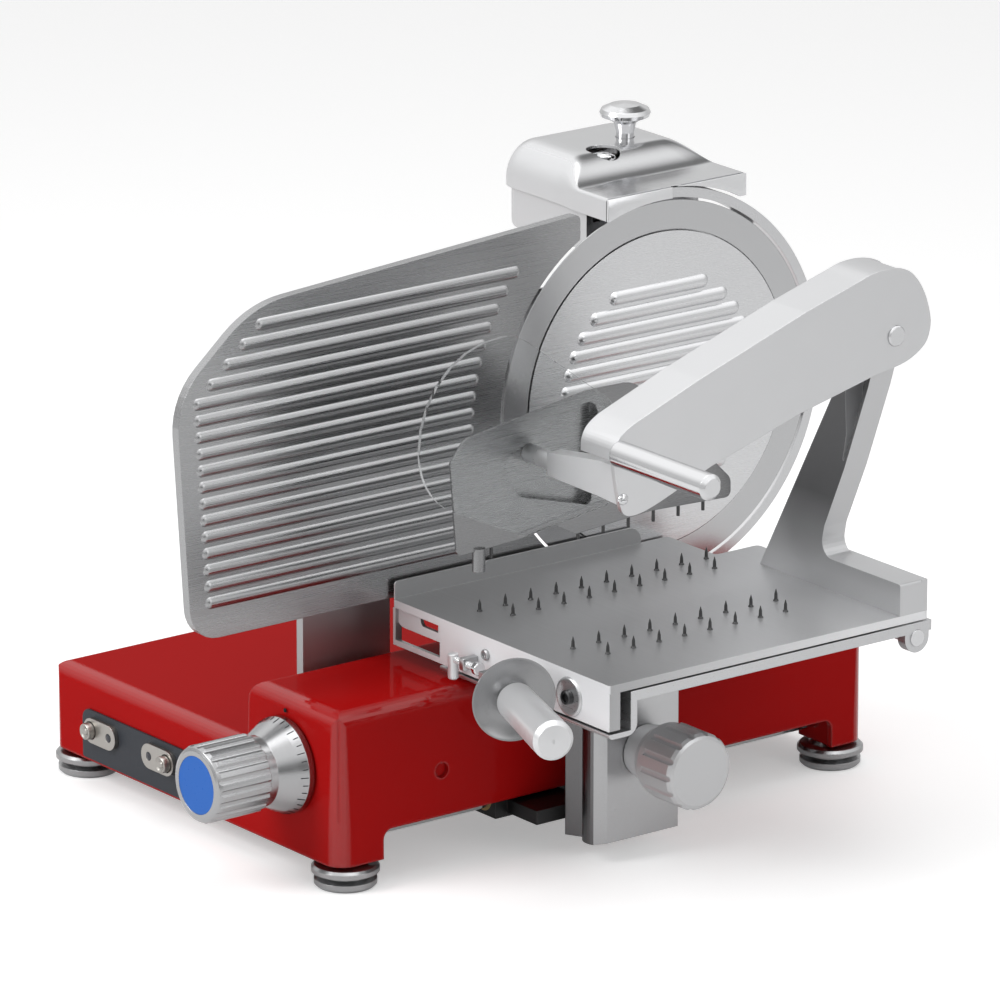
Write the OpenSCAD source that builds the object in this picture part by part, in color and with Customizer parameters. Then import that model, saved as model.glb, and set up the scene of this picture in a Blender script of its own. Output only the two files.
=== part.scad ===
// Vertical butcher's slicer with a sliding meat table, a swing arm press and a ring-guarded knife.
// X runs from the gauge plate side to the meat table side, Y runs away from the operator, Z is up.
// Heights are measured from the floor, and the other positions from the axis and face of the knife.

/* [Base casting] */
// Width of the base across the machine
base_w = 377; // [360:1:400]
// Length of the base from the operator to the back
base_l = 512; // [500:1:540]
// Right face of the base beside the carriage
base_x1 = 97; // [96:0.5:98]
// Front face of the base
base_y0 = -379; // [-382:1:-376]
// Height of the low deck above the floor
deck_z = 90; // [86:1:94]
// Height of the raised box above the floor
box_z = 141; // [137:1:142]
// Width of the raised box
box_w = 117; // [112:1:120]
// Wall of the casting
base_wall = 5; // [4:0.5:6]
// Height of the arched lower edge of both side walls
arch_z = 43; // [41:1:46]
// Length of the front legs beside the arch
leg_l = 43; // [38:1:45]
// Length of the rear legs beside the arch
rear_leg_l = 35; // [32:1:40]
// Radius of the plan corners
base_corner_r = 16; // [12:1:20]
// Radius of the top edges
base_edge_r = 12; // [8:1:14]

/* [Feet] */
// Height of the feet
foot_h = 20; // [18:1:24]
// Radius of the foot disc
foot_r = 26; // [22:1:30]
// Distance of a foot from the end faces of the base
foot_inset = 21; // [18:1:28]

/* [Control panel] */
// Width of the grey panel plate
panel_w = 158; // [150:1:170]
// Height of the grey panel plate
panel_h = 40; // [36:1:44]
// Thickness of the panel plate
panel_t = 2; // [1.5:0.5:3]
// Length of an oval button bezel
bezel_l = 42; // [38:1:46]
// Height of an oval button bezel
bezel_h = 20; // [18:1:22]
// Radius of a push button
button_r = 7; // [6:0.5:8]
// Travel of a push button
button_travel = 3; // [2:0.5:4]

/* [Knife] */
// Radius of the knife
blade_r = 150; // [145:1:152]
// Position of the knife's flat face in the footprint
blade_x = -36; // [-38:0.5:-33]
// Distance of the knife axis behind the middle of the footprint
blade_y = 151; // [148:1:154]
// Height of the knife axis
blade_z = 305; // [303:1:308]
// Radius of the ribbed knife cover
cover_r = 126; // [120:1:130]
// Thickness of the knife at the cover's seat
blade_t = 5; // [4:0.5:6]
// Pitch of the ribs on the knife cover
cover_rib_pitch = 13.4; // [12:0.2:15]
// Radius of the hub shaft
hub_r = 12.5; // [11:0.5:14]
// Outer radius of the hub bearings
bearing_r = 26; // [24:1:28]

/* [Gauge plate] */
// Thickness of the gauge plate
gauge_t = 8; // [6:1:10]
// Height of the gauge plate's lower edge
gauge_bottom_z = 185.5; // [183:0.5:188]
// Pitch of the gauge plate's ribs
rib_pitch = 13; // [12:0.5:15]
// Number of ribs on the gauge plate
rib_count = 17; // [15:1:17]
// Radius of a rib's round section
rib_r = 6; // [5.6:0.2:6.4]
// Height of a rib above the plate
rib_h = 2.4; // [2:0.2:2.8]
// Gap between the gauge plate and the edge of the knife
gauge_gap = 2; // [1.8:0.1:3]
// Full travel of the gauge plate
gauge_travel = 15; // [12:1:16]

/* [Slice thickness dial] */
// Position of the dial axis across the machine
dial_x = 32; // [28:1:36]
// Height of the dial axis
dial_z = 87; // [85:1:90]
// Radius of the fluted dial knob
dial_r = 30; // [27:1:32]
// Radius of the graduated flange
dial_flange_r = 37.5; // [35:0.5:40]
// Length of the dial knob from flange to face
dial_l = 83; // [75:1:90]
// Radius of the dial shaft
dial_shaft_r = 7; // [6:0.5:8]
// Turn of the dial from closed to fully open, in degrees
dial_turn = 330; // [300:5:330]
// Radius of the spiral groove where the gauge is closed
spiral_r0 = 14; // [13:0.5:16]

/* [Carriage] */
// Radius of the main guide rod
rail_r = 9; // [8:0.5:9]
// Height of the main guide rod
rail_z = 40; // [39:1:41]
// Position of the main guide rod across the machine
rail_x = 72; // [71:0.5:73]
// Radius of the support bar
bar_r = 6; // [5:0.5:6]
// Left face of the column
column_x0 = 125; // [120:0.5:128]
// Right face of the column
column_x1 = 161.5; // [158:0.5:168]
// Lower end of the column
column_z0 = 16; // [14:1:20]
// Radius of the lock knob
lock_r = 30; // [27:1:32]
// Distance of the lock knob's face from the column
lock_l = 69; // [60:1:75]

/* [Meat table] */
// Height of the table top
table_z = 186; // [184:1:188]
// Thickness of the table plate
table_t = 6.5; // [5.5:0.5:7]
// Inner edge of the table, beside the knife
table_x0 = 3; // [3:0.5:5]
// Outer edge of the table
table_x1 = 270; // [262:1:275]
// Front face of the table's lip
table_y0 = -257; // [-262:1:-255]
// Rear edge of the table
table_y1 = 50; // [50:1:54]
// Edge of the corner cut out of the table for the knife, along X
notch_x = 63; // [60:1:66]
// Edge of the corner cut out of the table for the knife, along Y
notch_y = 8; // [0:1:12]
// Depth of the lip below the table top
lip_h = 36; // [33:1:37]
// Thickness of the lip
lip_t = 10; // [8:1:11]
// Height of the upright strip along the inner edge
fence_h = 14; // [10:1:18]
// Radius of the rod on which the table slides
slide_rod_r = 6.5; // [5.5:0.5:7]
// Sliding travel of the table
table_travel = 60; // [40:5:60]
// Height of a table spike
spike_h = 12; // [9:1:14]
// Radius of a table spike
spike_r = 1.3; // [1:0.1:1.8]
// Pitch of the table spikes
spike_pitch = 24.3; // [22:0.1:25]

/* [Swing arm] */
// Left face of the swing arm
arm_x0 = 208; // [206:1:209]
// Right face of the swing arm
arm_x1 = 248; // [247:1:252]
// Side wall of the swing arm
arm_wall = 4.5; // [3:0.5:5]
// Distance of the pivot pin behind the knife axis
pivot_y = 31.4; // [31:0.2:34]
// Height of the pivot pin
pivot_z = 399.2; // [398:0.2:400]
// Radius of the pivot pin
pivot_r = 8; // [7:0.5:9]
// Radius of the arm's rod handle
arm_handle_r = 10; // [8:0.5:12]
// Length of the arm's rod handle
arm_handle_l = 109; // [85:1:115]
// Thickness of the post that carries the arm
post_t = 22; // [20:1:24]

/* [Press] */
// Radius of the press shaft
press_r = 7; // [6:0.5:7.5]
// Position of the press shaft along the machine
press_y = -213; // [-214:0.5:-211]
// Height of the press shaft
press_z = 320.5; // [319:0.5:323]
// Front face of the press plate
press_x = 122; // [118:1:124]
// Thickness of the press plate
press_t = 2; // [1.5:0.5:3]
// Lower edge of the press plate
press_bottom_z = 254; // [250:1:258]
// Radius of the lower left corner of the clear hand guard
guard_r = 56; // [52:1:60]
// Thickness of the clear hand guard
guard_t = 3; // [2:0.5:4]

/* [Sharpener] */
// Front edge of the sharpener cap
cap_y0 = -54; // [-58:1:-50]
// Rear edge of the sharpener cap
cap_y1 = 81; // [78:1:84]
// Left end of the sharpener cap
cap_x0 = -143; // [-146:1:-140]
// Right face of the sharpener cap
cap_x1 = 4; // [4:0.5:6]
// Top of the sharpener cap
cap_z = 482; // [481:1:485]
// Wall of the sharpener cap
cap_wall = 4; // [3:0.5:4]
// Radius of the lifting knob
lift_knob_r = 20; // [17:1:22]
// Height of the lifting knob's top
lift_knob_z = 511; // [508:1:516]
// Travel of the lifting knob
lift_travel = 5; // [3:1:6]

/* [Clearances] */
// Radial clearance of a running fit
run_fit = 0.05; // [0.02:0.01:0.1]
// Gap between two bodies that move past each other
slide_gap = 0.5; // [0.4:0.1:0.8]

/* [Hidden] */
$fn = 48;
base_x0 = base_x1 - base_w;
base_y1 = base_y0 + base_l;
box_x0 = base_x1 - box_w;
blade_back = -blade_t - 3;
column_y0 = -186;
column_y1 = -106;
table_under = table_z - table_t;
support_gap = 1.5;
support_z1 = table_under - support_gap;
support_z0 = support_z1 - 8;
lip_z = table_z - lip_h;
channel_z0 = box_z + 3;
slide_rod_y = 37.4;
slide_rod_z = 166;
support_x0 = notch_x - 1;
lug_w = 9;
barrel_x0 = support_x0 + lug_w + table_travel + 3;
barrel_l = 64;
lip_plate_x0 = notch_x - 1;
ring_in = blade_r + 2;
ring_out = blade_r + 10;
stand_x1 = box_x0;
stand_x0 = stand_x1 - 46;
motor_y = 0;
motor_z = 103;
motor_r = 33;
hub_pulley_r = 30;
motor_pulley_r = 18;
belt_x0 = stand_x0 + 16;
belt_w = 12;
belt_t = 3;
cam_y = base_y0 + 34;
cam_t = 12;
cam_r = 35;
pin_r = 3;
groove_w = 6.4;
slider_y0 = -224;
slider_y1 = -110;
arm_y0 = -213;
arm_y1 = -165;
flange_z = 467;
bar_x = 5;
bar_z = 52;
gauge_rod_y = [-298, -262];
gauge_rod_z = 62;
gauge_rod_r = 6;
gauge_x1 = -1;
gauge_x0 = gauge_x1 - gauge_t;
lock_y = -139;
lock_z = 84;
lock_r0 = lock_r - 1.5;
lift_x = -84;
lift_y = 33;
button_hole = [-64, -4];
bezel_z = 47.5;
bezel_x = [base_x0 + 72.5, base_x0 + 150];
button_x = [bezel_x[0] - 12, bezel_x[1] + 11.5];
lens_x = [bezel_x[0] + 12.2, bezel_x[1] - 11.2];
panel_y = base_y0 - 1;
bezel_y = panel_y - 4;
button_y1 = panel_y + panel_t - button_travel - 0.3;
stone_y = [-36, -8];
stone_z = 451;
stone_r = 8;
handle_c = [196, -291, 165];
handle_turn = -20.6;
fillet_steps = 7;

function xy(v) = [v[0], v[1]];
function unit(v) = v / norm(v);

// points of the fillet of radius r at corner p1
function fillet(p0, p1, p2, r) =
    r <= 0 ? [p1] :
    let (
        u = unit(p0 - p1),
        v = unit(p2 - p1),
        half = acos(max(-1, min(1, u * v))) / 2,
        c = p1 + unit(u + v) * r / sin(half),
        s = p1 + u * r / tan(half) - c,
        e = p1 + v * r / tan(half) - c,
        a0 = atan2(s.y, s.x),
        d = atan2(e.y, e.x) - a0,
        sweep = d > 180 ? d - 360 : d < -180 ? d + 360 : d
    )
    [for (i = [0:fillet_steps]) c + r * [cos(a0 + sweep * i / fillet_steps), sin(a0 + sweep * i / fillet_steps)]];

// outline through corners [x, y, radius]
function rounded(v) =
    let (m = len(v))
    [for (i = [0:m - 1]) each fillet(xy(v[(i + m - 1) % m]), xy(v[i]), xy(v[(i + 1) % m]), v[i][2])];

function arc(c, r, a0, a1, n) = [for (i = [0:n]) c + r * [cos(a0 + (a1 - a0) * i / n), sin(a0 + (a1 - a0) * i / n)]];

// outline round two circles, the first at the left
function two_circles(c0, r0, c1, r1, n = 16) =
    let (
        d = c1 - c0,
        base = atan2(d.y, d.x),
        lean = acos((r0 - r1) / norm(d))
    )
    concat(arc(c0, r0, base + lean, base + 360 - lean, n), arc(c1, r1, base - lean, base + lean, n));

// flat outline in Y and Z, extruded from x0 to x1
module along_x(x0, x1) {
    translate([x0, 0, 0]) rotate([90, 0, 90]) linear_extrude(x1 - x0) children();
}

// flat outline in X and Z, extruded from y0 to y1
module along_y(y0, y1) {
    translate([0, y1, 0]) rotate([90, 0, 0]) linear_extrude(y1 - y0) children();
}

// flat outline in X and Y, extruded from z0 to z1
module along_z(z0, z1) {
    translate([0, 0, z0]) linear_extrude(z1 - z0) children();
}

module rod_x(x0, x1, y, z, r) {
    translate([x0, y, z]) rotate([0, 90, 0]) cylinder(h = x1 - x0, r = r);
}

module rod_y(y0, y1, x, z, r) {
    translate([x, y0, z]) rotate([-90, 0, 0]) cylinder(h = y1 - y0, r = r);
}

module rod_z(z0, z1, x, y, r) {
    translate([x, y, z0]) cylinder(h = z1 - z0, r = r);
}

module block(x0, x1, y0, y1, z0, z1) {
    translate([x0, y0, z0]) cube([x1 - x0, y1 - y0, z1 - z0]);
}

// solid of revolution about the X axis, outline points are [x, radius]
module turned_x(y, z, pts) {
    translate([0, y, z]) rotate([0, 90, 0]) rotate_extrude() polygon([for (p = pts) [p[1], p[0]]]);
}

// solid of revolution about the Y axis, outline points are [y, radius]
module turned_y(x, z, pts) {
    translate([x, 0, z]) rotate([-90, 0, 0]) rotate_extrude() polygon([for (p = pts) [p[1], p[0]]]);
}

module turned_z(x, y, pts) {
    translate([x, y, 0]) rotate_extrude() polygon([for (p = pts) [p[1], p[0]]]);
}

// the middle of the footprint is the origin
module at_knife() {
    translate([blade_x, blade_y, 0]) children();
}

// base

module base_block(x0, x1, top, wall_l, wall_r, round_l) {
    intersection() {
        along_y(base_y0, base_y1) polygon(rounded([
            [x0, foot_h, 0], [x0 + wall_l, top, round_l],
            [x1 - wall_r, top, base_edge_r], [x1, foot_h, 0]]));
        along_x(x0, x1) polygon(rounded([
            [base_y0, foot_h, 0], [base_y0 + 1.5, top, base_edge_r],
            [base_y1 - 5, top, base_edge_r], [base_y1, foot_h, 0]]));
    }
}

module panel_shape(y0, y1) {
    x0 = bezel_x[0] - bezel_l / 2 - 7;
    z0 = bezel_z - 25.5;
    along_y(y0, y1) polygon(rounded([
        [x0, z0, 2], [x0 + panel_w, z0, 2], [x0 + panel_w, z0 + panel_h, 9], [x0, z0 + panel_h, 9]]));
}

module base_casting() {
    low_x1 = box_x0 + 6;
    color([0.55, 0.02, 0.03]) at_knife() {
        difference() {
            intersection() {
                union() {
                    base_block(base_x0, low_x1 + 20, deck_z, 4, 0, base_edge_r);
                    base_block(box_x0, base_x1, box_z, 3, 1.5, base_edge_r + 4);
                    // hollow fillet where the box rises from the deck
                    along_y(base_y0 + base_edge_r, base_y1 - base_edge_r - 4) polygon(concat(
                        [[box_x0 + 8, deck_z - 1], [box_x0 + 8, deck_z + 12]],
                        arc([box_x0 - 11, deck_z + 12], 12, 0, -90, 6),
                        [[box_x0 - 11, deck_z - 1]]));
                }
                along_z(foot_h, box_z) polygon(rounded([
                    [base_x0, base_y0, base_corner_r], [base_x1, base_y0, base_corner_r],
                    [base_x1, base_y1, base_corner_r], [base_x0, base_y1, base_corner_r]]));
            }
            difference() {
                // hollow under the deck and inside the box
                union() {
                    block(base_x0 + base_wall + 2, low_x1 + base_wall, base_y0 + base_wall,
                        base_y1 - base_wall - 3, foot_h - 1, deck_z - base_wall);
                    block(box_x0 + base_wall + 4, base_x1 - base_wall, base_y0 + base_wall,
                        base_y1 - base_wall - 3, foot_h - 1, box_z - base_wall);
                }
                // corner bosses over the feet, the right pair holds the guide rod
                for (y = [base_y0, base_y1 - 34])
                    block(rail_x - 17, base_x1, y, y + 34, foot_h, rail_z + 15);
                for (y = [base_y0, base_y1 - 34])
                    block(base_x0, base_x0 + 42, y, y + 34, foot_h, rail_z - 10);
                // bosses of the support bar and of the dial shaft
                for (y = [base_y0, base_y1 - 22])
                    block(bar_x - bar_r - 5, bar_x + bar_r + 5, y, y + 22, bar_z - bar_r - 5, bar_z + bar_r + 5);
                rod_y(base_y0, base_y0 + base_wall + 10, dial_x, dial_z, dial_shaft_r + 7);
            }
            // arched lower edge of the side walls
            along_x(base_x0 - 1, base_x0 + base_wall + 3) arch_outline();
            along_x(base_x1 - base_wall - 1, base_x1 + 1) arch_outline();
            // slot for the gauge bracket, opening for the belt and bore for the motor shaft
            block(box_x0 - 30, box_x0 - 1, -326, -236, deck_z - base_wall - 1, deck_z + 20);
            block(stand_x0 + 8, stand_x1 - 10, motor_y - 27, motor_y + 27, deck_z - base_wall - 1, deck_z + 1);
            block(stand_x0, stand_x1, motor_y - 76, motor_y + 76, deck_z, deck_z + 20);
            rod_x(box_x0 - 1, box_x0 + 12, motor_y, motor_z, 11);
            rod_y(base_y0 - 1, base_y0 + base_wall + 12, dial_x, dial_z, dial_shaft_r + run_fit);
            rod_y(base_y0 + base_wall, base_y1 - base_wall - 3, rail_x, rail_z, rail_r);
            rod_y(base_y0 + base_wall, base_y1 - base_wall - 3, bar_x, bar_z, bar_r);
            // room for the ring guard of a larger knife
            rod_x(stand_x1 + 3, 2, 0, blade_z, ring_out + 3);
            // blind hole in the right face and seat of the panel
            rod_x(base_x1 - 4, base_x1 + 1, -281, 79, 6);
            panel_shape(panel_y - 1, panel_y + panel_t);
        }
    }
}

module arch_outline() {
    polygon(rounded([
        [base_y0 + leg_l, foot_h - 5, 0], [base_y0 + leg_l, arch_z, 8],
        [base_y1 - rear_leg_l, arch_z, 8], [base_y1 - rear_leg_l, foot_h - 5, 0]]));
}

module feet() {
    color([0.75, 0.76, 0.78]) at_knife()
        for (x = [base_x0 + foot_inset, base_x1 - foot_inset + 2])
            for (y = [base_y0 + foot_inset, base_y1 - foot_inset])
                turned_z(x, y, [[0, 0], [0, foot_r - 4], [2, foot_r - 2], [6, foot_r - 2], [8.5, foot_r - 7],
                    [10, foot_r - 7], [11.5, foot_r], [15, foot_r], [17, foot_r - 2], [18, foot_r - 9],
                    [foot_h, foot_r - 12], [foot_h, 0]]);
}

module control_panel() {
    color([0.16, 0.17, 0.19]) at_knife() difference() {
        panel_shape(panel_y, panel_y + panel_t);
        for (x = button_x) rod_y(panel_y - 1, panel_y + panel_t + 1, x, bezel_z, button_r + 0.3);
    }
}

module switch_bezels() {
    color([0.72, 0.68, 0.6]) at_knife() for (i = [0, 1]) difference() {
        along_y(bezel_y, panel_y) union() {
            for (s = [-1, 1]) translate([bezel_x[i] + s * (bezel_l - bezel_h) / 2, bezel_z]) circle(r = bezel_h / 2);
            translate([bezel_x[i] - (bezel_l - bezel_h) / 2, bezel_z - bezel_h / 2])
                square([bezel_l - bezel_h, bezel_h]);
        }
        rod_y(bezel_y - 1, panel_y + 1, button_x[i], bezel_z, button_r + 0.3);
        rod_y(bezel_y - 1, panel_y - 1.5, lens_x[i], bezel_z, 3.5);
    }
}

module push_button(i) {
    turned_y(button_x[i], bezel_z, [[bezel_y - button_travel, 0], [bezel_y - button_travel, button_r - 1.5], [bezel_y - 1.5, button_r],
        [button_y1, button_r], [button_y1, 0]]);
}

module start_button() {
    color([0.8, 0.78, 0.72]) at_knife() push_button(0);
}

module stop_button() {
    color([0.75, 0.73, 0.68]) at_knife() push_button(1);
}

module indicator_lenses() {
    color([0.12, 0.13, 0.16]) at_knife() for (x = lens_x)
        turned_y(x, bezel_z, [[bezel_y - 0.8, 0], [bezel_y - 0.4, 2.6], [bezel_y, 3.5], [panel_y - 1.5, 3.5],
            [panel_y - 1.5, 0]]);
}

// slice thickness dial, cam and gauge

module fluted(y0, y1, x, z, r, count, depth, groove_r) {
    difference() {
        turned_y(x, z, [[y0, 0], [y0, r - 4], [y0 + 1.2, r - 1.6], [y0 + 4, r], [y1, r], [y1, 0]]);
        for (i = [0:count - 1])
            rod_y(y0 - 1, y1 + 1, x + (r + groove_r - depth) * cos(i * 360 / count),
                z + (r + groove_r - depth) * sin(i * 360 / count), groove_r);
    }
}

module dial_knob() {
    face = base_y0 - dial_l;
    back = base_y0 - slide_gap;
    color([0.78, 0.79, 0.81]) at_knife() difference() {
        union() {
            fluted(face, back - 34, dial_x, dial_z, dial_r, 20, 1.4, 3.4);
            turned_y(dial_x, dial_z, [[back - 34, 0], [back - 34, dial_r - 2.5], [back - 26, dial_r - 2.5],
                [back - 12, dial_flange_r - 3], [back - 5, dial_flange_r], [back, dial_flange_r], [back, 0]]);
        }
        rod_y(face - 1, face + 1.5, dial_x, dial_z, dial_r - 7.5);
        rod_y(back - 40, back + 1, dial_x, dial_z, dial_shaft_r);
    }
}

module dial_insert() {
    face = base_y0 - dial_l;
    color([0.1, 0.2, 0.5]) at_knife() rod_y(face + 0.3, face + 1.5, dial_x, dial_z, dial_r - 7.5);
}

module dial_shaft() {
    color([0.7, 0.71, 0.73]) at_knife() rod_y(base_y0 - slide_gap - 40, cam_y + cam_t, dial_x, dial_z, dial_shaft_r);
}

// the groove leads the pin outwards by the gauge travel while the dial makes its turn
module thickness_cam() {
    n = 44;
    spiral = [for (i = [0:n]) let (a = dial_turn * i / n) [180 + a, spiral_r0 + gauge_travel * i / n]];
    outer = [for (p = spiral) (p[1] + groove_w / 2) * [cos(p[0]), sin(p[0])]];
    inner = [for (i = [n:-1:0]) (spiral[i][1] - groove_w / 2) * [cos(spiral[i][0]), sin(spiral[i][0])]];
    color([0.6, 0.61, 0.62]) at_knife() difference() {
        rod_y(cam_y, cam_y + cam_t, dial_x, dial_z, cam_r);
        rod_y(cam_y - 1, cam_y + cam_t + 1, dial_x, dial_z, dial_shaft_r);
        translate([dial_x, 0, dial_z]) {
            along_y(cam_y + 2, cam_y + cam_t + 1) polygon(concat(outer, inner));
            for (p = [spiral[0], spiral[n]])
                rod_y(cam_y + 2, cam_y + cam_t + 1, p[1] * cos(p[0]), p[1] * sin(p[0]), groove_w / 2);
        }
    }
}

module gauge_slide() {
    x1 = gauge_x0 - 23;
    pin_x = dial_x - spiral_r0;
    color([0.55, 0.56, 0.58]) at_knife() difference() {
        union() {
            block(x1 - 68, x1, -323, -244, gauge_rod_z - 14, gauge_rod_z + 18);
            along_y(-331, -323) polygon([[x1 - 40, gauge_rod_z], [-4, gauge_rod_z], [pin_x, dial_z - 16],
                [pin_x + 8, dial_z - 8], [pin_x + 8, dial_z + 8], [pin_x - 8, dial_z + 8],
                [pin_x - 12, gauge_rod_z + 18], [x1 - 40, gauge_rod_z + 18]]);
            rod_y(cam_y + 3, -330, pin_x, dial_z, pin_r);
        }
        for (y = gauge_rod_y) rod_x(x1 - 70, x1 + 1, y, gauge_rod_z, gauge_rod_r + run_fit);
    }
}

module gauge_rods() {
    color([0.75, 0.76, 0.78]) at_knife() for (y = gauge_rod_y) rod_x(-262, -50, y, gauge_rod_z, gauge_rod_r);
}

module gauge_rod_lugs() {
    color([0.6, 0.61, 0.62]) at_knife() for (x = [-262, -150]) difference() {
        block(x, x + 12, -310, -250, gauge_rod_z - 12, deck_z - base_wall);
        for (y = gauge_rod_y) rod_x(x - 1, x + 13, y, gauge_rod_z, gauge_rod_r);
    }
}

module gauge_bracket() {
    color([0.62, 0.63, 0.65]) at_knife() along_y(-322, -240) polygon(rounded([
        [gauge_x0, 196, 0], [gauge_x0, 300, 0], [gauge_x0 - 8, 300, 4], [gauge_x0 - 23, 236, 14],
        [gauge_x0 - 23, gauge_rod_z - 14, 0], [gauge_x0 - 15, gauge_rod_z - 14, 0], [gauge_x0 - 15, 196, 5]]));
}

function gauge_left(z) = z < 376 ? -441 - 12 * (z - 185.5) / 190.5 : -453 + 71 * (z - 376) / 61.5 + 5;

module gauge_plate() {
    color([0.72, 0.73, 0.75]) at_knife() {
        along_x(gauge_x0, gauge_x1) difference() {
            polygon(rounded([
                [-441, gauge_bottom_z, 26], [-75, gauge_bottom_z, 0], [-75, 457.5, 5], [-382, 437.5, 90],
                [-453, 376, 60]]));
            translate([0, blade_z]) circle(r = blade_r + gauge_gap);
        }
        intersection() {
            block(gauge_x1, gauge_x1 + rib_h + 1, -460, 0, gauge_bottom_z, 460);
            union() for (i = [0:rib_count - 1]) {
                z = 214 + i * rib_pitch;
                y0 = gauge_left(z) + 13 + rib_r;
                y1 = -sqrt(176 * 176 - (z - blade_z) * (z - blade_z)) - rib_r;
                x = gauge_x1 + rib_h - rib_r;
                rod_y(y0, y1, x, z, rib_r);
                for (y = [y0, y1]) translate([x, y, z]) sphere(r = rib_r);
            }
        }
    }
}

// knife and its drive

module blade() {
    color([0.82, 0.83, 0.85]) at_knife() turned_x(0, blade_z, [
        [blade_back, hub_r], [blade_back, 62], [blade_back + 3, 76], [blade_back + 3, 126],
        [blade_back + 5, 140], [-0.6, blade_r], [0, blade_r], [0, cover_r + 1], [-4, cover_r + 1], [-4, hub_r]]);
}

module blade_shaft() {
    color([0.6, 0.61, 0.63]) at_knife() turned_x(0, blade_z, [
        [stand_x0 + 2, 5.6], [stand_x0 + 2, hub_r - run_fit], [blade_back - 6, hub_r - run_fit],
        [blade_back - 6, 45], [blade_back, 45], [blade_back, hub_r], [-4, hub_r], [-4, 5.6]]);
}

module hub_pulley() {
    color([0.5, 0.51, 0.53]) at_knife() turned_x(0, blade_z, [
        [belt_x0 - 1.5, hub_r - run_fit], [belt_x0 - 1.5, hub_pulley_r + 1.5], [belt_x0 - 0.3, hub_pulley_r + 1.5],
        [belt_x0 - 0.3, hub_pulley_r], [belt_x0 + belt_w + 0.3, hub_pulley_r],
        [belt_x0 + belt_w + 0.3, hub_pulley_r + 1.5], [belt_x0 + belt_w + 1.5, hub_pulley_r + 1.5],
        [belt_x0 + belt_w + 1.5, hub_r - run_fit]]);
}

module hub_bearings() {
    color([0.65, 0.66, 0.68]) at_knife() for (x = [stand_x0 + 2, stand_x1 - 14])
        turned_x(0, blade_z, [[x, hub_r], [x, bearing_r - 1], [x + 1, bearing_r], [x + 11, bearing_r],
            [x + 12, bearing_r - 1], [x + 12, hub_r]]);
}

module stand_outline() {
    polygon(rounded([[-75, deck_z, 0], [75, deck_z, 0], [58, 130, 40], [41, 300, 0], [-41, 300, 0],
        [-58, 130, 40]]));
    translate([0, blade_z]) circle(r = 42);
}

module blade_support() {
    color([0.6, 0.61, 0.63]) at_knife() difference() {
        union() {
            along_x(stand_x0, stand_x1) stand_outline();
            // arms that carry the ring guard
            along_x(stand_x1 - 6, stand_x1 + 4) translate([0, blade_z]) {
                circle(r = 40);
                for (a = [-80, -15, 50]) rotate(a) translate([20, -9]) square([ring_out - 20.5, 18]);
            }
            // neck up to the sharpener
            block(stand_x0 + 8, stand_x1 - 12, -22, 22, blade_z + 30, 417);
            // lugs of the slice deflector
            for (z = [225, 270]) block(stand_x1 - 24, stand_x1 - 10, -62, -38, z, z + 16);
        }
        intersection() {
            block(stand_x0 + 12, stand_x1 - 16, -40, 40, deck_z - 1, blade_z + 36);
            union() {
                along_x(stand_x0, stand_x1) polygon([[-27, deck_z - 1], [27, deck_z - 1], [35, blade_z],
                    [-35, blade_z]]);
                rod_x(stand_x0, stand_x1, 0, blade_z, 36);
            }
        }
        rod_x(stand_x0 + 2, stand_x0 + 14, 0, blade_z, bearing_r);
        rod_x(stand_x1 - 17, stand_x1 - 2, 0, blade_z, bearing_r);
        rod_x(stand_x0 - 1, stand_x1 + 5, 0, blade_z, 16);
        rod_x(stand_x1 - 17, stand_x1 + 5, 0, motor_z, 11);
    }
}

module ring_guard() {
    color([0.7, 0.71, 0.73]) at_knife() along_x(stand_x1 + 4, 0.5) translate([0, blade_z]) {
        difference() {
            circle(r = ring_out);
            circle(r = ring_in);
            polygon([[0, 0], 300 * [cos(86), sin(86)], [-300, 300], [-300, -300], 300 * [cos(-95), sin(-95)]]);
        }
    }
}

module blade_cover() {
    reach = 91;
    color([0.74, 0.75, 0.77]) at_knife() {
        rod_x(-3.5, 1, 0, blade_z, cover_r);
        intersection() {
            block(1, 4, -cover_r, cover_r, blade_z - cover_r, blade_z + cover_r);
            union() for (i = [-6:6]) {
                z = blade_z + i * cover_rib_pitch;
                y = sqrt(reach * reach - i * i * cover_rib_pitch * cover_rib_pitch);
                rod_y(-y, y, -2.5, z, rib_r + 0.5);
                for (s = [-1, 1]) translate([-2.5, s * y, z]) sphere(r = rib_r + 0.5);
            }
        }
        // tie rod through the hollow shaft
        rod_x(stand_x0 - 16, -3.5, 0, blade_z, 5);
    }
}

module cover_nut() {
    color([0.2, 0.2, 0.21]) at_knife() difference() {
        turned_x(0, blade_z, [[stand_x0 - 16, 0], [stand_x0 - 16, 16], [stand_x0 - 13, 19], [stand_x0 - 4, 19],
            [stand_x0 - 3, 17], [stand_x0, 17], [stand_x0, 0]]);
        rod_x(stand_x0 - 17, stand_x0 + 1, 0, blade_z, 5);
    }
}

module motor_body() {
    x0 = box_x0 + base_wall + 4;
    color([0.35, 0.36, 0.38]) at_knife() difference() {
        turned_x(motor_y, motor_z, [[x0, 0], [x0, motor_r], [x0 + 8, motor_r], [x0 + 10, motor_r - 3],
            [x0 + 74, motor_r - 3], [x0 + 76, motor_r], [x0 + 84, motor_r - 2], [x0 + 90, motor_r - 12],
            [x0 + 90, 0]]);
        for (i = [0:6]) turned_x(motor_y, motor_z, [[x0 + 16 + i * 8, motor_r - 6], [x0 + 16 + i * 8, motor_r + 1],
            [x0 + 20 + i * 8, motor_r + 1], [x0 + 20 + i * 8, motor_r - 6]]);
        rod_x(x0 - 1, x0 + 40, motor_y, motor_z, 7 + run_fit);
    }
}

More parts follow.
